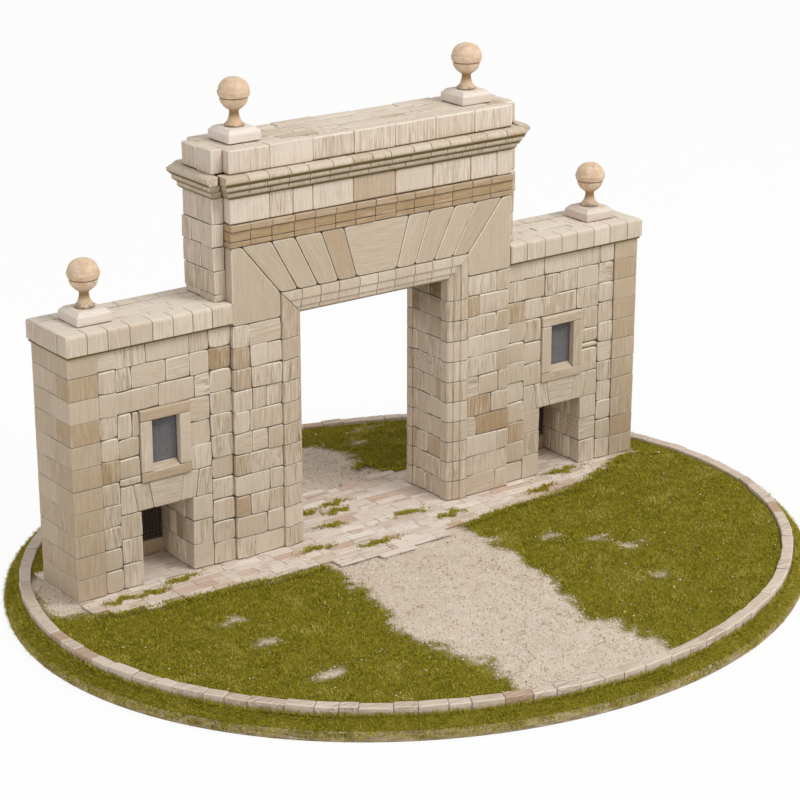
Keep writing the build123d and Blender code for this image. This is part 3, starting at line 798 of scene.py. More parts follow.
def buildCoping(name, side):
    pile = Pile(f"{name}_coping_stones")
    lo, hi = span(f"{name}_coping")
    top, foot = hi[2] - coping["sink"], lo[2] + coping["sink"]
    look, rounding, rowDepth = coping["look"], coping["rounding"], coping["rowDepth"]
    gap, worn, trim = coping["gap"], coping["worn"], coping["trim"]
    outer = side * max(abs(lo[0]), abs(hi[0]))

    def roundOff(points):
        rise = np.clip(points[:, 2] - (top - rounding), 0, rounding)
        limit = abs(outer) - (rounding - np.sqrt(rounding**2 - rise**2))
        points[:, 0] = side * np.minimum(side * points[:, 0], limit)
        return points

    for front in ways:
        section = roundedEdge(front * (hi[1] - trim), top, foot, rowDepth, rounding, front)
        for start, end in run(lo[0], hi[0], coping["stone"], pile.dice, coping["spread"]):
            rings = wornRings(start + gap, end - gap, worn)
            addPrism(pile, section, [1, 2, 0], rings, look, zAxis, roundOff, tone=coping["tone"])
    inner = hi[1] - rowDepth
    section = roundedEdge(outer - side * trim, top, foot, rowDepth, rounding, side)
    for near, far in run(-inner, inner, coping["endStone"], pile.dice):
        addPrism(pile, section, [0, 2, 1], wornRings(near + gap, far - gap, worn), look)
    edges = sorted((outer - side * rowDepth, lo[0] if side > 0 else hi[0]))
    layTiles(pile, edges, (-inner, inner), top, coping["tileThickness"], coping["tilePitch"], coping["tileRows"])
    back = coping["fillBack"]
    addMortar(pile, lo + (back, back, 0), hi - back, coping["fill"])
    # olive bead under the stones, partly the bed of the coping and partly painted shade under its overhang
    back = coping["beadBack"]
    start, end = ordered(side, abs(outer) - coping["beadEnd"], min(abs(lo[0]), abs(hi[0])))
    outline = rectangle((start, lo[1] + back), (end, hi[1] - back))
    rings = wornRings(foot - coping["bead"], foot + coping["beadWorn"], coping["beadWorn"])
    addPrism(pile, outline, [0, 1, 2], rings, mortarLook, xAxis, finish=2)
    makePiece(pile, (copingStone, warmFill, oliveFill), [f"{name}_coping"])


tileLook = dict(round=0.25, gap=0.08, skew=0.2, bulge=0.0, wobble=0.02, chip=0.3, brown=0.12, streak=1.0, proud=0.0)
tileLay = dict(rowSpread=0.25, spread=0.35, pitchSpread=(0.8, 1.25), rise=(-0.22, 0.04), lengthwise=0.7, tone=0.3)


def layTiles(pile, xSpan, ySpan, top, thickness, pitch, rows):
    # thin irregular tiles in rough rows
    dice = pile.dice
    for near, far in run(ySpan[0], ySpan[1], (ySpan[1] - ySpan[0]) / rows, dice, tileLay["rowSpread"]):
        length = pitch * dice.uniform(*tileLay["pitchSpread"])
        for start, end in run(xSpan[0], xSpan[1], length, dice, tileLay["spread"]):
            head = top + dice.uniform(*tileLay["rise"])
            flow = xAxis if dice.random() < tileLay["lengthwise"] else yAxis
            addStone(pile, (start, near, top - thickness), (end, far, head), tileLook, flow=flow, tone=tileLay["tone"])


for name, side in sides:
    buildQuoinPier(name, side)
    buildPilaster(name)
    buildPassage(name)
    buildPassageEnd(name)
    buildDoorLintels(name)
    for face, front in faces:
        buildWall(name, face, front)
    buildWindows(name)
    buildCoping(name, side)
print("wings built")


# gateway
gatePier = dict(courses=11, stone=7.0, mouldingWidth=11.1, facing=6.0, filler=20, smallStone=5, smallBrown=0.7)
pierJoints = dict(
    left=((0.37,), (0.64,), (0.3, 0.68), (0.72,), (0.29,), (0.36, 0.69), (0.31,), (0.385, 0.67), (0.37,), (0.34, 0.71),
          (0.34,)),
    right=((0.7,), (0.22,), (0.73,), (0.23,), (0.58,), (0.29, 0.75), (0.7,), (0.37,), (0.7,), (0.28,), (0.7,)),
)
# brown stones of the front, as course and place in it
pierBrown = dict(left={(2, 0): 0.7, (4, 0): 0.6, (8, 0): 0.5, (9, 0): 0.75, (5, 2): 0.4},
                 right={(4, 0): 0.8, (3, 1): 0.9, (9, 0): 0.7, (8, 1): 0.45, (6, 1): 0.4})
revealJoints = ((0.15, 0.45, 0.67), (0.32,), (0.16, 0.53), (0.62,), (0.18, 0.6), (0.36, 0.83), (0.7,), (0.17, 0.46),
                (0.55,), (0.23,), (0.6,))
pierLook = dict(rubble, round=0.5, brown=0.05, soft=0.6)


def buildGatePier(name, side):
    pile = Pile(f"{name}_gate_pier_stones")
    lo, hi = span(f"{name}_gate_pier")
    moulding, facing = gatePier["mouldingWidth"], gatePier["facing"]
    inner = min(abs(lo[0]), abs(hi[0]))
    outerX = ordered(side, inner + moulding, max(abs(lo[0]), abs(hi[0])))
    revealX = ordered(side, inner, inner + gatePier["stone"])
    for k, (foot, head) in enumerate(courses(lo[2], hi[2], gatePier["courses"])):
        for front in ways:
            near, far = ordered(front, hi[1], hi[1] - gatePier["stone"])
            shares = pierJoints[name if front < 0 else otherSide[name]][k]
            for spot, (start, end) in enumerate(cut(*outerX, shares)):
                brown = pierBrown[name].get((k, spot)) if front < 0 else None
                addStone(pile, (start, near, foot), (end, far, head), pierLook, (0, front, 0), brown=brown)
        inside = hi[1] - facing
        for near, far in cut(inside, -inside, revealJoints[k] if side > 0 else revealJoints[-k]):
            small = abs(far - near) < gatePier["smallStone"]
            brown = gatePier["smallBrown"] if small and k % 3 == 2 else None
            low, high = (revealX[0], near, foot), (revealX[1], far, head)
            addStone(pile, low, high, pierLook, (-side, 0, 0), finish=2, brown=brown)
    addMortar(pile, (outerX[0], lo[1], lo[2]), (outerX[1], hi[1], hi[2]), mortar["deep"])
    filler = ordered(side, inner, inner + gatePier["filler"])
    addMortar(pile, (filler[0], -inside, lo[2]), (filler[1], inside, hi[2]), mortar["deep"])
    makePiece(pile, (creamStone, jointFill, oliveShadowStone), [f"{name}_gate_pier"])


moulding = dict(
    course=9.95, courses=10, courseShift=0.6, fasciae=(0.3, 0.62), step=0.7, slant=(0.15, 0.1), bevel=0.4, worn=0.3,
    innerRounding=1.6, stone=10.75, spread=0.06, gap=0.13, overlap=0.6, fillBack=2.6, fillTrim=0.4, fill=0.6,
    jambLook=dict(neat, brown=0.04, streak=0.9), lintelLook=dict(neat, brown=0),
)


def mouldingSection(width, depth):
    # three fasciae: local x from the opening, local y towards the face, inner arris rubbed round
    first, second = (width * share for share in moulding["fasciae"])
    step, turn = moulding["step"], moulding["innerRounding"]
    low = depth - 2 * step
    arc = [(turn * (1 - math.cos(a)), low - turn * (1 - math.sin(a))) for a in np.linspace(0, math.pi / 2, 4)]
    before, after = moulding["slant"]
    bevel = moulding["bevel"]
    return [(0, 0), *arc, (first - before, low), (first + after, low + step), (second - before, low + step),
            (second + after, depth), (width - bevel, depth), (width, depth - bevel), (width, 0)]


def buildJambs(name, side):
    pile = Pile(f"{name}_gate_jamb_stones")
    lo, hi = span(f"{name}_gate_jambs")
    inner, outer = sorted((abs(lo[0]), abs(hi[0])))
    width, depth = outer - inner, gatePier["facing"] + moulding["overlap"]
    section = mouldingSection(width, depth)
    headIn, headOut = hi[2] - width, hi[2]
    levels = np.arange(1, moulding["courses"] + 1) * moulding["course"] - moulding["courseShift"]
    gap = moulding["gap"]
    for front in ways:
        outline = [(side * (inner + x), front * (hi[1] - depth + y)) for x, y in section]
        for foot, head in between([lo[2], *levels, headOut]):

            def mitre(points):
                share = (points[:, 2] - foot) / (head - foot)
                reach = headIn + np.abs(points[:, 0]) - inner - foot - gap
                points[:, 2] = foot + share * reach
                return points

            rings = wornRings(foot + gap, head - gap, moulding["worn"])
            warp = mitre if head == headOut else None
            addPrism(pile, outline, [0, 1, 2], rings, moulding["jambLook"], warp=warp)
        near, far = ordered(front, hi[1] - moulding["fillBack"], hi[1] - depth)
        start, end = ordered(side, inner + moulding["fillTrim"], outer)
        addMortar(pile, (start, near, lo[2]), (end, far, headIn), moulding["fill"])
    makePiece(pile, (creamStone, jointFill), [f"{name}_gate_jambs"])


def buildGateLintels():
    pile = Pile("gate_lintel_stones")
    lo, hi = span("gate_lintels")
    width, depth = hi[2] - lo[2], gatePier["facing"] + moulding["overlap"]
    outer = hi[0]
    inner = outer - width
    section = mouldingSection(width, depth)
    gap = moulding["gap"]
    for front in ways:
        outline = [(front * (hi[1] - depth + y), lo[2] + x) for x, y in section]
        for start, end in run(-outer, outer, moulding["stone"], pile.dice, moulding["spread"]):

            def mitre(points):
                limit = inner + points[:, 2] - lo[2] - gap
                points[:, 0] = np.clip(points[:, 0], -limit, limit)
                return points

            rings = wornRings(start + gap, end - gap, moulding["worn"])
            addPrism(pile, outline, [1, 2, 0], rings, moulding["lintelLook"], zAxis, mitre)
        near, far = ordered(front, hi[1] - moulding["fillBack"], hi[1] - depth)
        addMortar(pile, (-inner, near, lo[2] + moulding["fillTrim"]), (inner, far, hi[2]), moulding["fill"])
    makePiece(pile, (creamStone, jointFill), ["gate_lintels"])


flatArch = dict(
    top=(71.6, 56.2, 44.1, 30.0, 17.9), foot=(51.8, 42.7, 32.0, 21.1, 11.0), worn=0.6, gap=0.15, corner=1.6,
    proud=(-0.2, 0.15), tone=-0.3, brownStone=3, brown=0.55,
    smooth=dict(neat, brown=0, streak=0.1, toneSpread=0.1, arrisWearAndHighlight=1.0),
)


def buildFlatArch(face, front):
    pile = Pile(f"{face}_flat_arch_stones")
    lo, hi = span(f"{face}_flat_arch")
    near, far = lo[1], hi[1]
    gap, foot, head = flatArch["gap"], lo[2] + gatePier["mouldingWidth"], hi[2]
    tops, feet = flatArch["top"], flatArch["foot"]
    stones = []
    for side in ways:
        springer = ((feet[0] + gap, lo[2] + gap), (hi[0] - gap, lo[2] + gap), (hi[0] - gap, head - gap),
                    (tops[0] + gap, head - gap), (feet[0] + gap, foot + gap))
        stones.append(([(side * x, z) for x, z in springer], zAxis, None))
        for k in range(len(tops) - 1):
            wedge = ((feet[k + 1] + gap, foot + gap), (feet[k] - gap, foot + gap), (tops[k] - gap, head - gap),
                     (tops[k + 1] + gap, head - gap))
            lean = np.array((side * (tops[k] - feet[k]), 0, head - foot))
            brown = flatArch["brown"] if side * front > 0 and k == flatArch["brownStone"] else None
            stones.append(([(side * x, z) for x, z in wedge], lean / np.linalg.norm(lean), brown))
    key = ((-feet[-1] + gap, foot + gap), (feet[-1] - gap, foot + gap), (tops[-1] - gap, head - gap),
           (-tops[-1] + gap, head - gap))
    stones.append((key, xAxis, None))
    for outline, flow, brown in stones:
        shift = pile.dice.uniform(*flatArch["proud"])
        rings = wornRings(near + shift, far + shift, flatArch["worn"])
        addPrism(pile, outline, [0, 2, 1], rings, flatArch["smooth"], flow, corner=flatArch["corner"], brown=brown,
                 tone=flatArch["tone"])
    addMortar(pile, (-tops[0], near, foot), (tops[0], far, head), mortar["deep"])
    makePiece(pile, (creamStone, jointFill), [f"{face}_flat_arch"])


gateBeam = dict(pitch=10.6)


def buildGateBeam():
    pile = Pile("gate_beam_stones")
    lo, hi = span("gate_beam")
    for start, end in run(lo[0], hi[0], gateBeam["pitch"], pile.dice):
        addStone(pile, (start, lo[1], lo[2]), (end, hi[1], hi[2]), neat, flow=yAxis)
    addMortar(pile, lo, hi)
    makePiece(pile, (creamStone, jointFill), ["gate_beam"])


for name, side in sides:
    buildGatePier(name, side)
    buildJambs(name, side)
buildGateLintels()
for face, front in faces:
    buildFlatArch(face, front)
buildGateBeam()
print("gateway built")


# courses above the gateway
core = dict(
    step=5.0, reach=6.0, stone=7.0, plinth=3.0, joints=((0.5,), (0.3, 0.66), (0.42,)),
    look=dict(rubble, round=0.5, soft=0),
)
endLook = dict(rubble, round=0.5, soft=0.3)
flushLook = dict(endLook, proud=0.12, skew=0.1)


def bodyRows(hi, stone):
    # front and back rows of the deep middle, then the two shallower ends
    bodyX = hi[0] - core["reach"]
    coreY = hi[1] - core["step"]
    rows = []
    for front in ways:
        near, far = ordered(front, hi[1], hi[1] - stone)
        rows.append((0, (-bodyX, near), (bodyX, far), (0, front, 0)))
    for side in ways:
        start, end = ordered(side, bodyX, hi[0])
        rows.append((1, (start, -coreY), (end, coreY), (side, 0, 0)))
    return rows


def layRow(pile, row, foot, head, spans, look, **tints):
    axis, lo, hi, out = row
    for start, end in spans:
        low, high = [lo[0], lo[1], foot], [hi[0], hi[1], head]
        low[axis], high[axis] = start, end
        addStone(pile, low, high, look, out, **tints)


def fillBody(pile, lo, hi, depth=mortar["deep"]):
    bodyX, coreY = hi[0] - core["reach"], hi[1] - core["step"]
    addMortar(pile, (-bodyX, lo[1], lo[2]), (bodyX, hi[1], hi[2]), depth)
    addMortar(pile, (lo[0], -coreY, lo[2]), (hi[0], coreY, hi[2]), depth)


def buildCoreReturns():
    pile = Pile("core_return_stones")
    lo, hi = span("core_returns")
    inner = hi[0] - core["reach"]
    levels = [lo[2], lo[2] + core["plinth"], (lo[2] + core["plinth"] + hi[2]) / 2, hi[2]]
    for side in ways:
        start, end = ordered(side, inner, hi[0])
        for (foot, head), joints in zip(between(levels), core["joints"]):
            for near, far in cut(lo[1], hi[1], joints):
                addStone(pile, (start, near, foot), (end, far, head), core["look"], (side, 0, 0))
        addMortar(pile, (start, lo[1], lo[2]), (end, hi[1], hi[2]))
    makePiece(pile, (creamStone, jointFill), ["core_returns"])


architrave = dict(
    strip=2.5, lip=3.0, lipOut=0.8, bandBrown=(0.95, 1.0, 0.8), endJoints=(0.36, 0.7), endBrown=0.05, endTone=0.2,
    joints=(-67.2, -56.1, -44.5, -33.6, -22.6, -11.8, -1.0, 10.3, 20.5, 31.5, 42.2, 53.4, 64.1),
    look=dict(neat, gap=0.12, streak=0.4, bulge=0.0),
)


def buildArchitrave():
    pile = Pile("architrave_stones")
    lo, hi = span("architrave")
    lip = architrave["lipOut"]
    lo, hi = lo + (lip, lip, 0), hi - (lip, lip, 0)
    low, high = lo[2] + architrave["strip"], hi[2] - architrave["lip"]
    bands = ((lo[2], low, 0), (low, high, 0), (high, hi[2], lip))
    for row in bodyRows(hi, core["stone"]):
        axis, low, high, out = row
        if axis:
            pile.dice.random()  # spare draw, keeps the stones after it as they are
            joints = cut(low[1], high[1], architrave["endJoints"])
            layRow(pile, row, lo[2], hi[2], joints, endLook, brown=architrave["endBrown"], tone=architrave["endTone"])
            continue
        joints = between([low[0], *architrave["joints"], high[0]])
        for (foot, head, proud), brown in zip(bands, architrave["bandBrown"]):
            shift = np.array(out[:2]) * proud
            moved = (axis, np.array(low) + shift, np.array(high) + shift, out)
            layRow(pile, moved, foot, head, joints, architrave["look"], flow=xAxis, brown=brown)
    fillBody(pile, lo, hi)
    makePiece(pile, (creamStone, jointFill), ["architrave"])


frieze = dict(
    joints=(-56.6, -44.6, -34.1, -12.5, 10.4, 31.4, 53.0, 68.3), brownStone=4, brown=0.6, pale=0.02, tone=0.4,
    endJoints=(0.55,), endBrown=0.1, fill=0.5,
    look=dict(neat, round=0.75, gap=0.1, brown=0, streak=1.0, toneSpread=0.12),
)


def buildFrieze():
    pile = Pile("frieze_stones")
    lo, hi = span("frieze")
    for row in bodyRows(hi, core["stone"]):
        axis, low, high = row[:3]
        if axis:
            joints = cut(low[1], high[1], frieze["endJoints"])
            layRow(pile, row, lo[2], hi[2], joints, flushLook, brown=frieze["endBrown"])
            continue
        for k, piece in enumerate(between([low[0], *frieze["joints"], high[0]])):
            brown = frieze["brown"] if k == frieze["brownStone"] else frieze["pale"]
            layRow(pile, row, lo[2], hi[2], [piece], frieze["look"], brown=brown, tone=frieze["tone"], flow=zAxis)
    fillBody(pile, lo, hi, frieze["fill"])
    makePiece(pile, (chalkStone, warmFill), ["frieze"])


cornice = dict(
    heights=(0.3, 0.6, 1.0), overhangs=(0.34, 0.68, 1.0), overhang=4.8, bevels=(0.25, 0.25, 1.4), under=1.2,
    underShare=0.36, lift=0.05, trim=0.08, stone=10.7, spread=0.12, gap=0.12, worn=0.32, depth=9.0, brown=(0, 0.25),
    tone=0.1, fillFoot=0.6, fillHead=0.4, fill=2.2, look=dict(neat, brown=0, streak=0.5),
)


def buildCornice():
    pile = Pile("cornice_stones")
    lo, hi = span("cornice")
    gap, trim = cornice["gap"], cornice["trim"]
    foot = lo[2]
    for rise, reach, bevel in zip(cornice["heights"], cornice["overhangs"], cornice["bevels"]):
        head = lo[2] + (hi[2] - lo[2]) * rise
        back = cornice["overhang"] * (1 - reach)
        tierLo, tierHi = lo + (back, back, 0), hi - (back, back, 0)
        levels = (foot + cornice["lift"], foot + (head - foot) * cornice["underShare"], head - bevel, head)
        insets = (cornice["under"], 0, 0, bevel)
        for axis, low, high, out in bodyRows(tierHi, cornice["depth"]):
            other = 1 - axis
            way = out[other]
            face = way * (max(abs(low[other]), abs(high[other])) - trim)
            depth = high[other] - low[other]
            section = [(depth, levels[0]), (depth, head), *zip(insets[::-1], levels[::-1])]
            section = [(face - way * x, z) for x, z in section]
            ends = abs(high[axis]) - trim

            def slope(points):
                limit = ends - np.interp(points[:, 2], levels, insets)
                points[:, axis] = np.clip(points[:, axis], -limit, limit)
                return points

            axes = [1, 2, 0] if axis == 0 else [0, 2, 1]
            for start, end in run(low[axis], high[axis], cornice["stone"], pile.dice, cornice["spread"]):
                rings = wornRings(start + gap, end - gap, cornice["worn"])
                brown = pile.dice.uniform(*cornice["brown"])
                addPrism(pile, section, axes, rings, cornice["look"], zAxis, slope, brown=brown, tone=cornice["tone"])
        tierLo[2], tierHi[2] = foot - cornice["fillFoot"], head + cornice["fillHead"]
        fillBody(pile, tierLo, tierHi, cornice["fill"])
        foot = head
    makePiece(pile, (corniceStone, jointFill), ["cornice"])


attic = dict(
    joints=(-56.0, -33.8, -11.9, 10.4, 32.9, 55.0), endJoints=(0.5,), rowDepth=6.5, sink=0.15, rise=(-0.2, 0.1),
    tone=0.3, fill=0.5, look=dict(flushLook, round=0.75, gap=0.1, streak=1.0, brown=0, upright=1.0),
    tileThickness=1.8, tilePitch=15.0, tileRows=4, tileFill=0.4, tileFillFoot=1, tileFillHead=0.6,
)


def buildAttic():
    pile = Pile("attic_stones")
    lo, hi = span("attic")
    slabLo, slabHi = span("attic_slab")
    top = slabHi[2] - attic["sink"]
    for row in bodyRows(hi, attic["rowDepth"]):
        axis, low, high = row[:3]
        if axis:
            joints = cut(low[1], high[1], attic["endJoints"])
        else:
            joints = between([low[0], *attic["joints"], high[0]])
        for piece in joints:
            head = top + pile.dice.uniform(*attic["rise"])
            layRow(pile, row, lo[2], head, [piece], attic["look"], tone=attic["tone"])
    fillBody(pile, lo, hi, attic["fill"])
    makePiece(pile, (chalkStone, warmFill), ["attic"])
    pile = Pile("attic_roof_tiles")
    inner = slabHi[1] - attic["rowDepth"]
    ends = slabHi[0] - core["reach"]
    layTiles(pile, (-ends, ends), (-inner, inner), top, attic["tileThickness"], attic["tilePitch"], attic["tileRows"])
    foot, head = slabLo[2] - attic["tileFillFoot"], slabHi[2] - attic["tileFillHead"]
    addMortar(pile, (-ends, -inner, foot), (ends, inner, head), attic["tileFill"])
    makePiece(pile, (creamStone, jointFill), ["attic_slab"])


buildCoreReturns()
buildArchitrave()
buildFrieze()
buildCornice()
buildAttic()
print("stack above the gateway built")


# pedestals and ball finials
pedestal = dict(
    bevel=1.9, worn=0.25, trim=0.5, shoulder=0.12, topTrim=0.15, tone=0.25, look=dict(neat, brown=0, streak=0.15),
)
finial = dict(
    steps=56, wobble=0.0125, seams=(12.4, 12.7), neck=6.0, neckReach=2.2, greyFoot=2.8, greyReach=1.4, grainSpread=90,
)


def buildPedestals(place):
    pile = Pile(f"{place}_pedestal_blocks")
    lo, hi = span(f"{place}_pedestals")
    reach = (hi[1] - lo[1]) / 2
    half = reach - pedestal["trim"]
    for middle in (lo[0] + reach, hi[0] - reach):
        outline = rectangle((middle - half, -half), (middle + half, half))
        bevel, worn = pedestal["bevel"], pedestal["worn"]
        shoulder = hi[2] - bevel
        rings = ((worn, lo[2]), (0, lo[2] + worn), (0, shoulder - worn), (pedestal["shoulder"], shoulder),
                 (worn, shoulder + worn), (bevel - worn, hi[2] - worn), (bevel + pedestal["topTrim"], hi[2]))
        addPrism(pile, outline, [0, 1, 2], rings, pedestal["look"], xAxis, tone=pedestal["tone"])
    makePiece(pile, (paleTile,), [f"{place}_pedestals"])


# turned section as radius and height above the foot
finialSection = (
    (0.0, 0.0), (4.1, 0.0), (4.35, 0.2), (4.4, 0.6), (4.35, 0.95), (4.05, 1.15), (3.45, 1.75), (2.9, 2.7), (2.45, 3.9),
    (2.15, 5.2), (2.05, 6.3), (2.2, 6.9), (2.7, 7.3), (3.6, 7.9), (4.55, 8.7), (5.25, 9.6), (5.8, 10.6), (6.15, 11.6),
    (6.2, 12.1), (6.0, 12.4), (6.05, 12.7), (6.5, 12.85), (6.75, 13.2), (6.95, 14.0), (7.1, 14.7), (7.15, 15.15),
    (7.0, 15.5), (6.8, 15.7), (6.75, 16.2), (6.5, 17.2), (6.0, 18.25), (5.2, 19.3), (4.1, 20.2), (2.7, 20.85),
    (1.2, 21.13), (0.0, 21.17),
)


def buildFinials(place):
    pile = Pile(f"{place}_ball_finials")
    lo, hi = span(f"{place}_finials")
    section = np.array(finialSection)
    radius = (hi[1] - lo[1]) / 2
    steps = finial["steps"]
    angles = circle(steps)
    body = section[1:-1]
    for middle in (lo[0] + radius, hi[0] - radius):
        wobble = 1 + pile.dice.normal(0, finial["wobble"], (len(body), steps))
        rings = np.stack((body[:, :1] * np.cos(angles) * wobble, body[:, :1] * np.sin(angles) * wobble,
                          np.repeat(body[:, 1:], steps, 1)), 2)
        points = np.concatenate((rings.reshape(-1, 3), ((0, 0, section[0, 1]), (0, 0, section[-1, 1]))))
        points += (middle, 0, lo[2])
        shell = [face for k in range(len(body) - 1) for face in ringQuads(steps, k, k + 1)]
        foot, top, last = len(points) - 2, len(points) - 1, (len(body) - 1) * steps
        edges = ringQuads(steps)[:, :2]
        shell += [np.array((foot, j, i)) for i, j in edges]
        shell += [np.array((top, i, j)) for i, j in edges + last]
        tint = stoneTint(pile.dice, mortarLook, len(points), 0.0)
        rise = points[:, 2] - lo[2]
        tint[:, 0] = np.exp(-(((rise - finial["neck"]) / finial["neckReach"]) ** 2))
        tint[:, 1] = np.isin(np.round(rise, 2), finial["seams"])
        tint[:, 2] = np.clip((finial["greyFoot"] - rise) / finial["greyReach"], 0, 1)
        pile.add(points, shell, tint, points - (middle, 0, 0) + pile.dice.uniform(0, finial["grainSpread"], 3))
    makePiece(pile, (turnedFinish,), [f"{place}_finials"])


def turnedClay(name, look):
    # turned and painted: tan, with rubbed grey spots, turning lines, a darker band at the neck and painted shade in
    # the hollows
    finish, tree, shader = newFinish(name)
    neck, seam, foot = tintParts(tree)[:3]
    grain = put(tree, "Attribute", attribute_name="grain").outputs["Vector"]
    blotch = grainNoise(tree, grain, 0.32, 4.0, 0.6)
    spots = grainNoise(tree, grain, 0.42, 5.0, 0.75)
    fine = grainNoise(tree, grain, 2.6, 4.0, 0.65)
    height = put(tree, "SeparateXYZ", {"Vector": grain}).outputs["Z"]
    rings = put(tree, "TexNoise", {"W": height, "Scale": 2.2, "Detail": 3.0}, noise_dimensions="1D").outputs["Fac"]
    base = paint(tree, remap(tree, blotch, 0.35, 0.65), look["tan"], look["light"])
    base = paint(tree, remap(tree, rings, 0.55, 0.75, 0, 0.2), base, look["line"])
    base = paint(tree, remap(tree, fine, 0.48, 0.66, 0, 0.5), base, look["line"])
    base = paint(tree, remap(tree, spots, 0.59, 0.66, 0, 0.6), base, look["grey"])
    worn = remap(tree, fine, 0.35, 0.6, 0.35, 0.95)
    base = paint(tree, times(tree, seam, worn), base, look["seam"])
    chalky = times(tree, times(tree, foot, remap(tree, blotch, 0.4, 0.55)), 0.8)
    base = paint(tree, chalky, base, look["grey"])
    base = paint(tree, times(tree, neck, remap(tree, blotch, 0.3, 0.6, 0.7, 1.0)), base, look["hollow"])
    # painted shade: darker in the hollows, found by ambient occlusion
    hollow = put(tree, "AmbientOcclusion", {"Distance": 0.006}, samples=6).outputs["AO"]
    base = paint(tree, remap(tree, hollow, 0.75, 0.25, 0, 0.8), base, look["hollow"])
    cover(tree, shader, base, remap(tree, fine, 0.3, 0.7, 0.55, 0.8))
    bumpInto(tree, shader, fine, 0.6, 0.0006)
    return finish


turnedFinish = turnedClay("turnedTanClay", dict(
    tan=colour(226, 194, 162), light=colour(243, 220, 194), line=colour(194, 155, 112), grey=colour(128, 122, 112),
    hollow=colour(140, 104, 46), seam=colour(92, 66, 40),
))
for place in ("wing", "attic"):
    buildPedestals(place)
    buildFinials(place)
print("finials built")


# stand
# grain in millimetres and seed of each random field
noiseFields = dict(
    relief=(14, 1), fineRelief=(4, 2), pathEdge=(9, 3), finePathEdge=(3, 4), bedTone=(11, 5), dryTurf=(8, 6),
    pavingEdge=(6, 8), tuft=(4, 9), vergeTop=(9, 12), dryVerge=(7, 15), kerbSide=(11, 17), rubbedEdge=(16, 19),
    boardEdge=(5, 21), dryFringe=(6, 23), strayGrit=(13, 25),
)


def softNoise(x, y, field):
    # smooth random field, about 0 to 1
    size, seed = noiseFields[field]
    table = np.random.default_rng(seed).random((64, 64))
    u, v = x / size, y / size
    iu, iv = np.floor(u).astype(int), np.floor(v).astype(int)
    fu, fv = u - iu, v - iv
    fu, fv = fu * fu * (3 - 2 * fu), fv * fv * (3 - 2 * fv)
    a, b = table[iu % 64, iv % 64], table[(iu + 1) % 64, iv % 64]
    c, d = table[iu % 64, (iv + 1) % 64], table[(iu + 1) % 64, (iv + 1) % 64]
    return (a * (1 - fu) + b * fu) * (1 - fv) + (c * (1 - fu) + d * fu) * fv


bedLo, bedHi = span("ground_bed")
kerbLo, kerbHi = span("front_kerb")
vergeLo, vergeHi = span("verge")
boardLo, boardHi = span("base_board")
standY = (boardLo[1] + boardHi[1]) / 2
bedReach = np.array((bedHi[0], bedHi[1] - standY))
kerbReach = np.array((kerbHi[0], standY - kerbLo[1]))
boardReach = np.array((boardHi[0], boardHi[1] - standY))
# path as depth and place along the gate, paving edges as place and depth, spots and tufts with their size
ground = dict(
    pathLeft=((-52, -47), (-79, -49), (-106, -58), (-118, -62), (-148, -59), (-164, -48), (-174, -49), (-194, -55)),
    pathRight=((-48, 27), (-81, 29), (-115, 22), (-141, 14), (-156, 8), (-165, 18), (-187, 19), (-212, 24)),
    edge=((-158, -30), (-144, -35), (-120, -38), (-89, -40), (-69, -44), (-28, -46), (-9, -51), (12, -48), (34, -43),
          (55, -39), (104, -37), (140, -22), (156, -17)),
    backEdge=((-158, -24), (-120, -27), (-60, -30), (-11, -31.5), (20, -33.5), (36, -38), (51, -29), (100, -27),
              (158, -22)),
    pathBack=((30, 38), (40, 38), (58, 41), (69, 42), (80, 35), (87, 28), (110, 26)),
    bare=((-113, -68, 5), (-105, -133, 6), (-113, -94, 4), (72, -91, 7), (54, -76, 6), (65, -138, 6), (76, -104, 4)),
    tufts=((-140, -24, 9), (-126, -25, 8), (-108, -21, 9), (-42, -27, 8), (-15, -37, 10), (18, -18, 9), (33, -30, 8),
           (-20, -8, 7), (88, -30, 8), (111, -18, 10)),
    backTufts=((-4, 13, 8), (-8, 5, 7), (-22, 11, 7), (36, 46, 7), (-110, 21, 9), (90, 25, 8)),
)
pathEdge = dict(sway=9, fineSway=6, fade=4)
endPatch = dict(x=163, y=16, reach=6, gateX=155, gateDrop=20, right=-9, ragged=0.6)
bareSpot = dict(share=0.38, stretch=0.6, ragged=0.7)
bank = dict(height=0.9, x=157.5, innerX=156.5, halfDepth=19, start=1.25, reach=3)
pavingEdge = dict(sway=4, fade=1.5, halfLength=158)


def tableAt(key, at):
    return np.interp(at, *np.array(sorted(ground[key])).T)


def onGrit(x, y):
    # 1 on the grit path, falling to 0 in the turf with a ragged edge
    ragged = (softNoise(x, y, "pathEdge") - 0.5) * pathEdge["sway"]
    ragged = ragged + (softNoise(x, y, "finePathEdge") - 0.5) * pathEdge["fineSway"]
    right = np.where(y > 0, tableAt("pathBack", y), tableAt("pathRight", y))
    y = -np.abs(y)
    inside = np.minimum(x - tableAt("pathLeft", y), right - x) + ragged
    away = np.hypot(np.maximum(np.abs(x) - endPatch["x"], 0), np.maximum(np.abs(y) - endPatch["y"], 0))
    ends = endPatch["reach"] - away - endPatch["gateDrop"] * (np.abs(x) < endPatch["gateX"])
    inside = np.maximum(inside, np.where(x < 0, ends, endPatch["right"]) + ragged * endPatch["ragged"])
    for spotX, spotY, size in ground["bare"]:
        away = np.hypot((x - spotX) * bareSpot["stretch"], y - spotY)
        inside = np.maximum(inside, size * bareSpot["share"] - away + ragged * bareSpot["ragged"])
    return np.clip(inside / pathEdge["fade"] + 0.5, 0, 1)


def banked(x, y):
    # grit heaped against the ends of the gate
    slope = np.clip(bank["start"] - (np.abs(x) - bank["x"]) / bank["reach"], 0, 1)
    return slope * (np.abs(y) < bank["halfDepth"]) * (np.abs(x) > bank["innerX"]) * bank["height"]


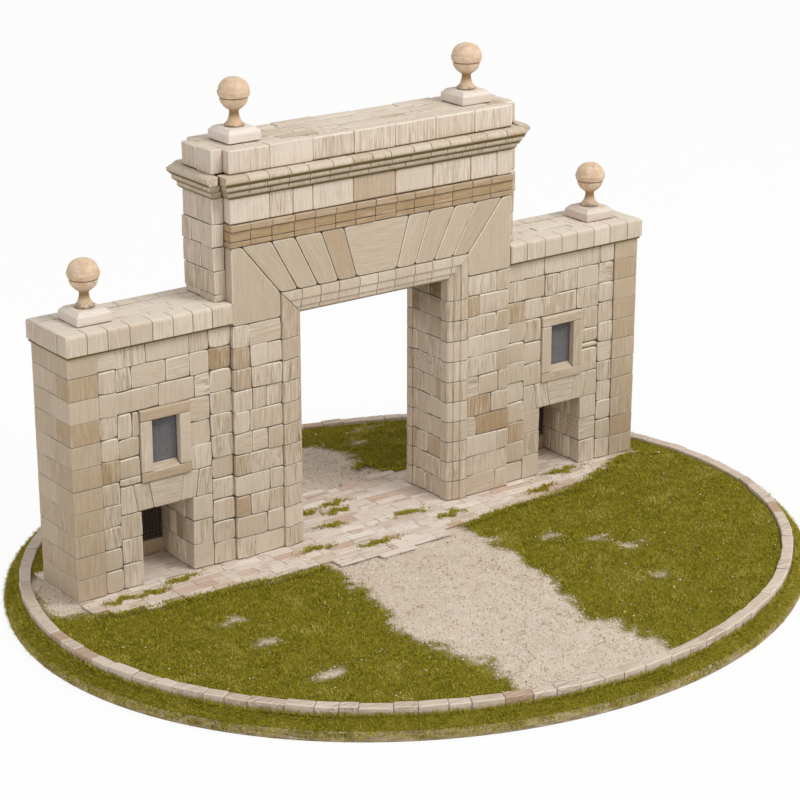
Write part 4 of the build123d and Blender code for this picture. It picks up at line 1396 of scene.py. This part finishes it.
def onPaving(x, y):
    edge = np.where(y > 0, tableAt("backEdge", x), tableAt("edge", x))
    edge = edge + (softNoise(x, y, "pavingEdge") - 0.5) * pavingEdge["sway"]
    return np.clip((y * -np.sign(y) - edge) / pavingEdge["fade"], 0, 1) * (np.abs(x) < pavingEdge["halfLength"])


def inBed(x, y, margin=0.0):
    return (x / (bedReach[0] - margin)) ** 2 + ((y - standY) / (bedReach[1] - margin)) ** 2 < 1


def ellipsePoint(angle, reachX, reachY):
    return np.stack((reachX * np.cos(angle), standY + reachY * np.sin(angle)), -1)


def polarShell(rings, steps):
    # closed skin from a stack of rings, capped at both ends
    ring = np.arange(steps)
    shell = [face for k in range(rings - 1) for face in ringQuads(steps, k, k + 1)]
    return shell + [ring[::-1], ring + (rings - 1) * steps]


bed = dict(
    rings=46, steps=220, spread=0.985, relief=0.9, fineRelief=0.5, sink=0.35, gritSink=0.25, pavedFrom=0.2,
    pavedSink=0.5, bankShare=0.7,
)


def reliefAt(x, y):
    return (softNoise(x, y, "relief") - 0.5) * bed["relief"]


def buildBed():
    pile = Pile("ground_bed_relief")
    angles = circle(bed["steps"])
    layers = [np.column_stack((ellipsePoint(angles, *bedReach), np.full(bed["steps"], bedLo[2])))]
    for k in range(bed["rings"]):
        share = 1 - k / bed["rings"] * bed["spread"]
        flat = ellipsePoint(angles, *(bedReach * share))
        x, y = flat.T
        height = bedHi[2] - bed["sink"] + reliefAt(x, y) + (softNoise(x, y, "fineRelief") - 0.5) * bed["fineRelief"]
        height -= bed["gritSink"] * onGrit(x, y)
        height = np.where(onPaving(x, y) > bed["pavedFrom"], bedHi[2] - bed["pavedSink"], height)
        layers.append(np.column_stack((flat, height + banked(x, y) * bed["bankShare"])))
    points = np.concatenate(layers)
    x, y = points[:, 0], points[:, 1]
    tint = np.zeros((len(points), 4))
    tint[:, 0] = softNoise(x, y, "bedTone")
    tint[:, 1] = np.maximum(onGrit(x, y), onPaving(x, y))
    pile.add(points, polarShell(bed["rings"] + 1, bed["steps"]), tint, points.copy())
    makePiece(pile, (bedFinish,), ["ground_bed"])


def soilFinish(name, look):
    # brown-green flock glue in the turf, pale sand under the grit
    finish, tree, shader = newFinish(name)
    sandy = tintParts(tree)[1]
    place = objectPlace(tree)
    fine = grainNoise(tree, place, 1500.0, 3.0, 0.7)
    coarse = grainNoise(tree, place, 260.0, 4.0, 0.6)
    green = paint(tree, remap(tree, fine, 0.35, 0.65), look["dark"], look["green"])
    green = paint(tree, remap(tree, coarse, 0.45, 0.7, 0, 0.6), green, look["dry"])
    sand = paint(tree, remap(tree, fine, 0.35, 0.62), look["shade"], look["sand"])
    sand = paint(tree, remap(tree, coarse, 0.55, 0.75, 0, 0.4), sand, look["warm"])
    cover(tree, shader, paint(tree, sandy, green, sand), remap(tree, fine, 0.3, 0.7, 0.85, 1.0))
    shader.inputs["Specular IOR Level"].default_value = 0.1
    bumpInto(tree, shader, fine, 0.8, 0.0008)
    return finish


bedFinish = soilFinish("bedOfSandAndFlock", dict(
    dark=colour(96, 91, 22), green=colour(136, 128, 34), dry=colour(156, 142, 56), shade=colour(206, 189, 170),
    sand=colour(240, 228, 214), warm=colour(222, 203, 183),
))
kerbRun = dict(
    stones=96, spread=0.25, worn=0.5, wornSpread=(0.8, 1.5), gap=0.03, sway=0.4, swaySpread=(-1, 0.2), drop=(0.0, 0.6),
    tilt=(-0.2, 0.2), tiltReach=6, leanDepth=2, corner=0.5, tone=-0.1, measure=2001,
    look=dict(neat, brown=0.12, streak=0.8, toneSpread=0.15),
)


def buildKerbs():
    for face, front in faces:
        pile = Pile(f"{face}_kerb_stones")
        node = f"{face}_kerb"
        lo, hi = span(node)
        count = kerbRun["stones"] // 2
        walk = np.linspace(0, front * math.pi, kerbRun["measure"])
        steps = np.diff(ellipsePoint(walk, *kerbReach), axis=0)
        length = np.concatenate(([0], np.cumsum(np.linalg.norm(steps, axis=1))))
        for start, end in run(0, length[-1], length[-1] / count, pile.dice, kerbRun["spread"]):
            edges = np.interp((start + kerbRun["gap"], end - kerbRun["gap"]), length, walk * front) * front
            sway = pile.dice.uniform(*kerbRun["swaySpread"], 4) * kerbRun["sway"]
            outline = [ellipsePoint(edges[0], *(bedReach - sway[0])), ellipsePoint(edges[0], *(kerbReach + sway[1])),
                       ellipsePoint(edges[1], *(kerbReach + sway[2])), ellipsePoint(edges[1], *(bedReach - sway[3]))]
            top = hi[2] - pile.dice.uniform(*kerbRun["drop"])
            rings = wornRings(lo[2], top, kerbRun["worn"] * pile.dice.uniform(*kerbRun["wornSpread"]))
            tilt = pile.dice.uniform(*kerbRun["tilt"], 2) / kerbRun["tiltReach"]
            heart = np.append(np.mean(outline, 0), top)

            def lean(points):
                points[:, 2] += ((points - heart)[:, :2] @ tilt) * (points[:, 2] > top - kerbRun["leanDepth"])
                return points

            addPrism(pile, outline, [0, 1, 2], rings, kerbRun["look"], xAxis, lean, corner=kerbRun["corner"],
                     tone=kerbRun["tone"])
        makePiece(pile, (kerbTile, jointFill), [node])


pavers = dict(
    rowDepth=4.7, rowSpread=0.3, pitch=11.0, pitchSpread=(0.8, 1.3), spread=0.45, thickness=1.2, worn=0.2, reach=52.0,
    kerbGap=4, sway=0.16, gap=0.08, level=(-0.25, 0.0), slant=(-0.012, 0.012), brownChance=0.38, brown=(0.2, 0.8),
    look=dict(brown=0.2, streak=1.0, toneSpread=0.28),
)


def buildPaving():
    pile = Pile("paving_tiles")
    dice = pile.dice
    lo, hi = span("paving")
    for near, far in run(-pavers["reach"], pavers["reach"], pavers["rowDepth"], dice, pavers["rowSpread"]):
        length = pavers["pitch"] * dice.uniform(*pavers["pitchSpread"])
        for start, end in run(lo[0], hi[0], length, dice, pavers["spread"]):
            middle = np.array(((start + end) / 2, (near + far) / 2))
            sway = dice.uniform(-1, 1, (4, 2)) * pavers["sway"]
            level, slant = dice.uniform(*pavers["level"]), dice.uniform(*pavers["slant"], 2)
            brown = float(dice.random() < pavers["brownChance"]) * dice.uniform(*pavers["brown"])
            if onPaving(*middle) < 0.5 or not inBed(*middle, pavers["kerbGap"]):
                continue
            outline = np.array(rectangle((start, near), (end, far))) + sway
            outline += (middle - outline) / np.linalg.norm(middle - outline, axis=1, keepdims=True) * pavers["gap"]

            def lie(points):
                points[:, 2] += (points[:, :2] - middle) @ slant
                return points

            rings = wornRings(hi[2] - pavers["thickness"], hi[2] + level, pavers["worn"])
            addPrism(pile, outline, [0, 1, 2], rings, pavers["look"], xAxis, lie, brown=brown)
    makePiece(pile, (paleTile,), ["paving"])


buildBed()
buildKerbs()
buildPaving()
print("bed, kerb and paving built")

# flock and grit
flock = dict(
    perSquare=1.52, long=(0.7, 1.7), wide=(0.34, 0.56), rootShare=0.55, lean=(0.25, 1.2), splay=(0.2, 1.2), depth=0.3,
    gritThin=0.97, gritPower=0.7, pavedThin=0.992, kept=0.8, kerbGap=1.0, footprint=(160, 18), gritDry=0.25,
    edging=4500, edgePlace=(-0.9, 1.5), edgeDepth=0.5, edgeDry=0.05, edgeLong=(0.9, 2.0),
    tuftCount=52, tuftShare=0.5, tuftWidth=1.2, tuftSway=5, tuftDepth=0.25, tuftDry=0.1, tuftLong=(0.9, 1.9),
)
# dry patches as the level they start at, how fast they grow and their limit
dryPatches = dict(dryTurf=(0.62, 2.2, 0.7), dryVerge=(0.5, 1.8, 0.8), dryFringe=(0.35, 1.4, 0.8))
bladeFaces = np.array(((0, 2, 1), (0, 1, 3), (1, 2, 3), (2, 0, 3)))


def addBlades(pile, roots, dryness, long, outward=None):
    # each fibre is a thin closed spike
    dice = pile.dice
    count = len(roots)
    turn = dice.uniform(0, 2 * math.pi, count)
    tip = dice.uniform(*flock["lean"], count)
    length = dice.uniform(*long, count)
    aim = np.stack((np.cos(turn) * np.sin(tip), np.sin(turn) * np.sin(tip), np.cos(tip)), 1)
    if outward is not None:
        aim += outward * dice.uniform(*flock["splay"], (count, 1))
        aim /= np.linalg.norm(aim, axis=1, keepdims=True)
    width = dice.uniform(*flock["wide"], count)
    spin = dice.uniform(0, 2 * math.pi, count)
    points = np.empty((count, 4, 3))
    for k in range(3):
        angle = spin + k * 2 * math.pi / 3
        points[:, k] = roots + outwardOf(angle, 0 * angle) * width[:, None] * flock["rootShare"]
    points[:, 3] = roots + aim * length[:, None]
    tint = np.empty((count, 4, 4))
    tint[..., 0] = dice.random(count)[:, None]
    tint[..., 1] = dryness[:, None]
    tint[..., 2] = dice.random(count)[:, None]
    # alpha runs from 0 at the root to 1 at the tip, for the painted shade at the roots
    tint[..., 3] = (0, 0, 0, 1)
    shell = (bladeFaces[None] + 4 * np.arange(count)[:, None, None]).reshape(-1, 3)
    points = points.reshape(-1, 3)
    pile.add(points, shell, tint.reshape(-1, 4), points.copy())


def bladeFinish(name, look):
    finish, tree, shader = newFinish(name)
    tone, dry, odd, tip = tintParts(tree)
    place = objectPlace(tree)
    patch = grainNoise(tree, place, 85.0, 3.0, 0.6)
    clump = grainNoise(tree, place, 380.0, 2.0, 0.6)
    base = paint(tree, tone, look["dark"], look["green"])
    base = paint(tree, remap(tree, clump, 0.52, 0.7, 0, 0.7), base, look["bright"])
    base = paint(tree, remap(tree, clump, 0.46, 0.3, 0, 0.8), base, look["deep"])
    base = paint(tree, remap(tree, patch, 0.4, 0.68, 0, 0.55), base, look["olive"])
    base = paint(tree, remap(tree, odd, 0.8, 0.95, 0, 0.8), base, look["straw"])
    base = paint(tree, remap(tree, odd, 0.14, 0.04, 0, 0.8), base, look["deep"])
    base = paint(tree, dry, base, look["straw"])
    # painted shade: fibres darker towards their roots
    base = paint(tree, remap(tree, tip, 0.75, 0.0, 0, 0.5), base, look["deep"])
    cover(tree, shader, base, remap(tree, patch, 0.3, 0.7, 0.7, 0.95))
    shader.inputs["Specular IOR Level"].default_value = 0.15
    return finish


flockFinish = bladeFinish("flockFibre", dict(
    dark=colour(146, 138, 26), green=colour(194, 184, 48), olive=colour(170, 155, 28), straw=colour(222, 204, 104),
    deep=colour(86, 82, 16), bright=colour(214, 202, 72),
))


def dryAt(x, y, field):
    start, gain, most = dryPatches[field]
    return np.clip((softNoise(x, y, field) - start) * gain, 0, most)


def scatter(dice, perSquare):
    # even random places over the bed's box
    count = int(4 * bedReach[0] * bedReach[1] * perSquare)
    x = dice.uniform(-bedReach[0], bedReach[0], count)
    return x, dice.uniform(standY - bedReach[1], standY + bedReach[1], count)


def underGate(x, y, halfLength, halfDepth):
    return (np.abs(x) < halfLength) & (np.abs(y) < halfDepth)


def buildFlock():
    for face, front in faces:
        pile = Pile(f"{face}_flock")
        dice = pile.dice
        edgeKey, tuftKey = ("edge", "tufts") if front < 0 else ("backEdge", "backTufts")
        x, y = scatter(dice, flock["perSquare"])
        pick = dice.random(len(x))
        thin = 1 - flock["gritThin"] * onGrit(x, y) ** flock["gritPower"]
        thin *= 1 - flock["pavedThin"] * onPaving(x, y)
        thin *= inBed(x, y, flock["kerbGap"]) * (y * front > 0)
        keep = (pick < thin * flock["kept"]) & ~underGate(x, y, *flock["footprint"])
        x, y = x[keep], y[keep]
        height = bedHi[2] - flock["depth"] + reliefAt(x, y)
        dry = dryAt(x, y, "dryTurf") + flock["gritDry"] * onGrit(x, y)
        addBlades(pile, np.stack((x, y, height), 1), dry, flock["long"])
        # along the edge of the paving
        x = dice.uniform(ground[edgeKey][0][0], ground[edgeKey][-1][0], flock["edging"])
        y = (tableAt(edgeKey, x) + dice.normal(*flock["edgePlace"], len(x))) * -front
        keep = onGrit(x, y) < 0.5
        x, y = x[keep], y[keep]
        height = np.full(len(x), -flock["edgeDepth"])
        addBlades(pile, np.stack((x, y, height), 1), np.full(len(x), flock["edgeDry"]), flock["edgeLong"])
        # tufts in the joints of the paving
        for tuftX, tuftY, size in ground[tuftKey]:
            count = int(size * flock["tuftCount"])
            x = tuftX + dice.normal(0, size * flock["tuftShare"], count)
            y = tuftY + dice.normal(0, flock["tuftWidth"], count)
            y = y + (softNoise(x, x * 0, "tuft") - 0.5) * flock["tuftSway"]
            height = np.full(count, -flock["tuftDepth"])
            addBlades(pile, np.stack((x, y, height), 1), np.full(count, flock["tuftDry"]), flock["tuftLong"])
        makePiece(pile, (flockFinish,))


verge = dict(
    steps=240, kerbGap=0.1, boardGap=0.3, flat=1.4, lip=0.4, lipRipple=0.3, shoulder=0.3, kerbFoot=0.2, ripple=0.8,
    perStep=80, long=(1.2, 2.9), spread=0.85, sway=(-0.4, 0.2), flatShare=0.22, depth=0.5, slope=(-0.25, -0.75),
    dry=(0.3, 0.9), dryMost=0.85,
    kerbSide=26, kerbPlace=(0.1, 1.3), kerbDepth=0.4, kerbRise=1.6, kerbDry=0.3,
    hanging=44, hangLong=(1.2, 2.8), hangGap=0.25, hangDrop=3.6, hangSlope=-1.6, wornAndLitArris=(1.15, 0.25, -0.2),
    rubLeast=0.25,
)


def roundNoise(angle, field, radius=200):
    return softNoise(np.cos(angle) * radius, np.sin(angle) * radius, field)


def buildVerge():
    pile = Pile("verge_flock")
    dice = pile.dice
    steps = verge["steps"]
    angles = circle(steps)
    inner, flat, outer = kerbReach + verge["kerbGap"], kerbReach + verge["flat"], boardReach - verge["boardGap"]
    foot, lip, head = vergeLo[2], vergeLo[2] + verge["lip"], vergeHi[2]
    ripple = (roundNoise(angles, "vergeTop") - 0.5)[:, None] * (0, 0, verge["ripple"])
    layers = []
    for reach, level, sway in ((outer, foot, 0), (outer, lip, verge["lipRipple"]), (flat, head - verge["shoulder"], 1),
                               (inner, head - verge["kerbFoot"], 1), (inner, foot, 0)):
        layers.append(np.column_stack((ellipsePoint(angles, *reach), np.full(steps, level))) + ripple * sway)
    points = np.concatenate(layers)
    quads = [ringQuads(steps, k, (k + 1) % len(layers)) for k in range(len(layers))]
    tint = np.zeros((len(points), 4))
    tint[:, 0] = 0.5
    pile.add(points, np.concatenate(quads), tint, points.copy(), 1)
    count = steps * verge["perStep"]
    angle = dice.uniform(0, 2 * math.pi, count)
    share = dice.random(count) ** verge["spread"]
    reach = inner + (outer - inner) * share[:, None] + dice.uniform(*verge["sway"], (count, 1))
    place = np.stack((reach[:, 0] * np.cos(angle), standY + reach[:, 1] * np.sin(angle)), 1)
    fall = np.clip((share - verge["flatShare"]) / (1 - verge["flatShare"]), 0, 1)
    height = head - verge["depth"] - (head - foot - verge["lip"]) * fall
    outward = outwardOf(angle, verge["slope"][0] + share * verge["slope"][1])
    dry = dryAt(*place.T, "dryVerge") * (verge["dry"][0] + verge["dry"][1] * share)
    addBlades(pile, np.column_stack((place, height)), np.clip(dry, 0, verge["dryMost"]), verge["long"], outward)
    # standing against the kerb
    angle = dice.uniform(0, 2 * math.pi, steps * verge["kerbSide"])
    place = ellipsePoint(angle, *kerbReach) + outwardOf(angle) * dice.uniform(*verge["kerbPlace"], (len(angle), 1))
    tall = softNoise(*place.T, "kerbSide")
    height = head - verge["kerbDepth"] + tall * verge["kerbRise"] * dice.random(len(angle))
    addBlades(pile, np.column_stack((place, height)), verge["kerbDry"] * tall, verge["long"])
    # hanging over the board's edge, thinner where it is rubbed bare
    angle = dice.uniform(0, 2 * math.pi, steps * verge["hanging"])
    drop = dice.random(len(angle))
    full, rightward, shift = verge["wornAndLitArris"]
    bare = roundNoise(angle, "rubbedEdge") + rightward * np.cos(angle) + shift
    keep = drop < np.clip(full - bare, verge["rubLeast"], 1)
    angle, drop = angle[keep], drop[keep]
    place = ellipsePoint(angle, *(boardReach - verge["hangGap"]))
    height = lip - drop * verge["hangDrop"]
    outward = outwardOf(angle, np.full(len(angle), verge["hangSlope"]))
    addBlades(pile, np.column_stack((place, height)), dryAt(*place.T, "dryFringe"), verge["hangLong"], outward)
    makePiece(pile, (flockFinish, bedFinish), ["verge"])


grit = dict(
    perSquare=1.5, size=(0.2, 0.48), stretch=(0.7, 1.3), rough=0.09, flat=0.6, path=0.62, stray=0.009, strayFrom=0.55,
    paved=0.02, pavedFrom=0.3, kerbGap=0.8, footprint=(158, 17.5), depth=0.5, turfRise=1.1, sink=0.4,
)
gritCorners = np.array(((1, 0, 0), (-1, 0, 0), (0, 1, 0), (0, -1, 0), (0, 0, 1), (0, 0, -1)), float)
gritFaces = np.array(((0, 2, 4), (2, 1, 4), (1, 3, 4), (3, 0, 4), (2, 0, 5), (1, 2, 5), (3, 1, 5), (0, 3, 5)))


def buildGrit():
    pile = Pile("path_grit")
    dice = pile.dice
    x, y = scatter(dice, grit["perSquare"])
    sandy, paving = onGrit(x, y), onPaving(x, y)
    wanted = sandy * grit["path"] * (paving < grit["pavedFrom"])
    wanted = wanted + grit["stray"] * (1 - sandy) * (softNoise(x, y, "strayGrit") > grit["strayFrom"])
    wanted = wanted + grit["paved"] * (paving > 0.5)
    keep = (dice.random(len(x)) < wanted) & inBed(x, y, grit["kerbGap"]) & ~underGate(x, y, *grit["footprint"])
    x, y, sandy, paved = x[keep], y[keep], sandy[keep], paving[keep] > 0.5
    count = len(x)
    base = bedHi[2] - grit["depth"] + reliefAt(x, y) + grit["turfRise"] * (1 - sandy) * ~paved
    base = np.where(paved, 0.0, base + banked(x, y))
    size = dice.uniform(*grit["size"], (count, 1)) * dice.uniform(*grit["stretch"], (count, 3)) * (1, 1, grit["flat"])
    points = gritCorners[None] * size[:, None, :] + dice.normal(0, grit["rough"], (count, 6, 3))
    turn = dice.uniform(0, 2 * math.pi, count)
    cosine, sine = np.cos(turn)[:, None], np.sin(turn)[:, None]
    points[..., 0], points[..., 1] = (points[..., 0] * cosine - points[..., 1] * sine,
                                      points[..., 0] * sine + points[..., 1] * cosine)
    points += np.stack((x, y, base + size[:, 2] * grit["sink"]), 1)[:, None, :]
    tint = np.zeros((count, 6, 4))
    tint[..., 0] = dice.random(count)[:, None]
    tint[..., 1] = dice.random(count)[:, None]
    shell = (gritFaces[None] + 6 * np.arange(count)[:, None, None]).reshape(-1, 3)
    points = points.reshape(-1, 3)
    pile.add(points, shell, tint.reshape(-1, 4), points.copy())
    makePiece(pile, (gritFinish,))


def grainFinish(name, look):
    finish, tree, shader = newFinish(name)
    tone, odd = tintParts(tree)[:2]
    fine = grainNoise(tree, objectPlace(tree), 2200.0, 2.0, 0.6)
    base = paint(tree, tone, look["shade"], look["light"])
    base = paint(tree, remap(tree, odd, 0.9, 0.94), base, look["dark"])
    base = paint(tree, remap(tree, odd, 0.2, 0.1), base, look["warm"])
    base = paint(tree, remap(tree, fine, 0.5, 0.75, 0, 0.35), base, look["warm"])
    cover(tree, shader, base, remap(tree, fine, 0.3, 0.7, 0.7, 0.95))
    bumpInto(tree, shader, fine, 0.4, 0.0002)
    return finish


gritFinish = grainFinish("paleGrit", dict(
    shade=colour(228, 213, 198), light=colour(245, 236, 226), dark=colour(184, 162, 140), warm=colour(224, 202, 182),
))
boardEdge = dict(steps=260, wobble=0.25, radius=300, rise=9)


def buildBoard():
    pile = Pile("stand_board")
    steps = boardEdge["steps"]
    angles = circle(steps)
    foot, head, radius = boardLo[2], boardHi[2], boardEdge["radius"]
    layers = []
    for inset, level, sway in ((0.5, foot, 0), (0.1, foot + 0.4, 0.4), (0, foot + 1.6, 1), (0.05, foot + 3.2, 1),
                               (0.1, head - 0.5, 0.6), (0.7, head, 0)):
        ring = np.column_stack((ellipsePoint(angles, *(boardReach - inset)), np.full(steps, level)))
        across = np.sin(angles) * radius + level * boardEdge["rise"]
        bumps = softNoise(np.cos(angles) * radius, across, "boardEdge") - 0.5
        ring[:, :2] += outwardOf(angles) * (bumps * boardEdge["wobble"] * sway)[:, None]
        layers.append(ring)
    points = np.concatenate(layers)
    tint = np.zeros((len(points), 4))
    pile.add(points, polarShell(len(layers), steps), tint, points.copy())
    makePiece(pile, (boardFinish,), ["base_board"])


def rawBoard(name, look):
    # raw board edge: layered grey-buff, smeared with glue and green dust
    finish, tree, shader = newFinish(name)
    place = objectPlace(tree)
    stretch = put(tree, "Mapping", {"Vector": place, "Scale": (1.0, 1.0, 7.0)}).outputs["Vector"]
    layersNoise = grainNoise(tree, stretch, 130.0, 4.0, 0.6)
    blot = grainNoise(tree, place, 70.0, 4.0, 0.65)
    fine = grainNoise(tree, place, 900.0, 3.0, 0.6)
    base = paint(tree, remap(tree, layersNoise, 0.35, 0.65), look["dark"], look["light"])
    base = paint(tree, remap(tree, blot, 0.48, 0.62, 0, 0.75), base, look["green"])
    base = paint(tree, remap(tree, fine, 0.5, 0.75, 0, 0.5), base, look["dark"])
    cover(tree, shader, base, remap(tree, fine, 0.3, 0.7, 0.75, 0.95))
    bumpInto(tree, shader, layersNoise, 0.5, 0.0006)
    return finish


boardFinish = rawBoard("rawBoardEdge", dict(
    dark=colour(132, 114, 80), light=colour(208, 193, 160), green=colour(126, 112, 52),
))
buildFlock()
buildVerge()
buildGrit()
buildBoard()
print("flock, grit and board built:", sum(pieceSizes.values()), "triangles in all")

# floor, light and camera
stage = dict(
    floor=8.0, floorTone=0.86, whiteShare=0.94, world=0.535, worldTone=(1.0, 0.985, 0.96, 1), aim=(0, 0.02, 0.08),
    key=13.3, keyPlace=(0.5, -0.85, 1.35), keySize=0.7, keyTone=(1.0, 0.97, 0.92),
    fill=2.9, fillPlace=(-1.1, -0.7, 0.9), fillSize=1.1, fillTone=(0.96, 0.97, 1.0),
)
# angles in degrees, lengths in millimetres, clip in metres
camera = dict(
    azimuth=-36.37, elevation=19.57, distance=1125.9, targetX=25.32, targetZ=49.61, lens=107.8335, sensor=36.0,
    clip=(0.01, 50),
)


def seenDirectly(tree):
    rays = put(tree, "LightPath").outputs
    glossy = put(tree, "Math", {0: rays["Is Camera Ray"], 1: rays["Is Glossy Ray"]}, operation="MAXIMUM").outputs[0]
    return put(tree, "Math", {0: glossy, 1: rays["Is Transmission Ray"]}, operation="MAXIMUM").outputs[0]


def buildStage():
    mesh = bpy.data.meshes.new("studio_floor")
    half = stage["floor"] / 2
    corners = [(x, y, 0) for x, y in rectangle((-half, -half), (half, half))]
    mesh.from_pydata(corners, [], [(0, 1, 2, 3)])
    floor = bpy.data.objects.new("studio_floor", mesh)
    bpy.context.scene.collection.objects.link(floor)
    finish, tree, shader = newFinish("studioFloor")
    shader.inputs["Base Color"].default_value = (stage["floorTone"],) * 3 + (1,)
    shader.inputs["Roughness"].default_value = 0.9
    glow = put(tree, "Emission", {"Color": (1, 1, 1, 1), "Strength": 1.0})
    share = times(tree, seenDirectly(tree), stage["whiteShare"])
    blended = put(tree, "MixShader", {0: share, 1: shader.outputs[0], 2: glow.outputs[0]})
    tree.links.new(blended.outputs[0], tree.nodes["Material Output"].inputs["Surface"])
    mesh.materials.append(finish)
    world = bpy.data.worlds.new("studioWorld")
    bpy.context.scene.world = world
    world.use_nodes = True
    tree = world.node_tree
    soft = tree.nodes["Background"]
    soft.inputs["Color"].default_value = stage["worldTone"]
    soft.inputs["Strength"].default_value = stage["world"]
    white = put(tree, "Background", {"Color": (1, 1, 1, 1), "Strength": 1.0})
    blended = put(tree, "MixShader", {0: seenDirectly(tree), 1: soft.outputs[0], 2: white.outputs[0]})
    tree.links.new(blended.outputs[0], tree.nodes["World Output"].inputs["Surface"])


def addLamp(kind):
    lamp = bpy.data.lights.new(f"{kind}Lamp", "AREA")
    lamp.shape, lamp.size, lamp.energy, lamp.color = "DISK", stage[f"{kind}Size"], stage[kind], stage[f"{kind}Tone"]
    thing = bpy.data.objects.new(f"{kind}Lamp", lamp)
    bpy.context.scene.collection.objects.link(thing)
    thing.location = stage[f"{kind}Place"]
    aim = Vector(stage["aim"]) - Vector(stage[f"{kind}Place"])
    thing.rotation_euler = aim.to_track_quat("-Z", "Y").to_euler()


def aimCamera():
    azimuth, elevation = math.radians(camera["azimuth"]), math.radians(camera["elevation"])
    level = math.cos(elevation)
    back = Vector((math.sin(azimuth) * level, -math.cos(azimuth) * level, math.sin(elevation)))
    data = bpy.data.cameras.new("camera")
    data.sensor_width, data.lens = camera["sensor"], camera["lens"]
    thing = bpy.data.objects.new("camera", data)
    bpy.context.scene.collection.objects.link(thing)
    target = Vector(np.array((camera["targetX"], 0, camera["targetZ"])) * mm + gatePlace * mm)
    thing.location = target + back * camera["distance"] * mm
    thing.rotation_euler = back.to_track_quat("Z", "Y").to_euler()
    data.clip_start, data.clip_end = camera["clip"]
    bpy.context.scene.camera = thing


buildStage()
addLamp("key")
addLamp("fill")
aimCamera()
bpy.context.scene.view_settings.view_transform = "Standard"
print("stage and camera ready")
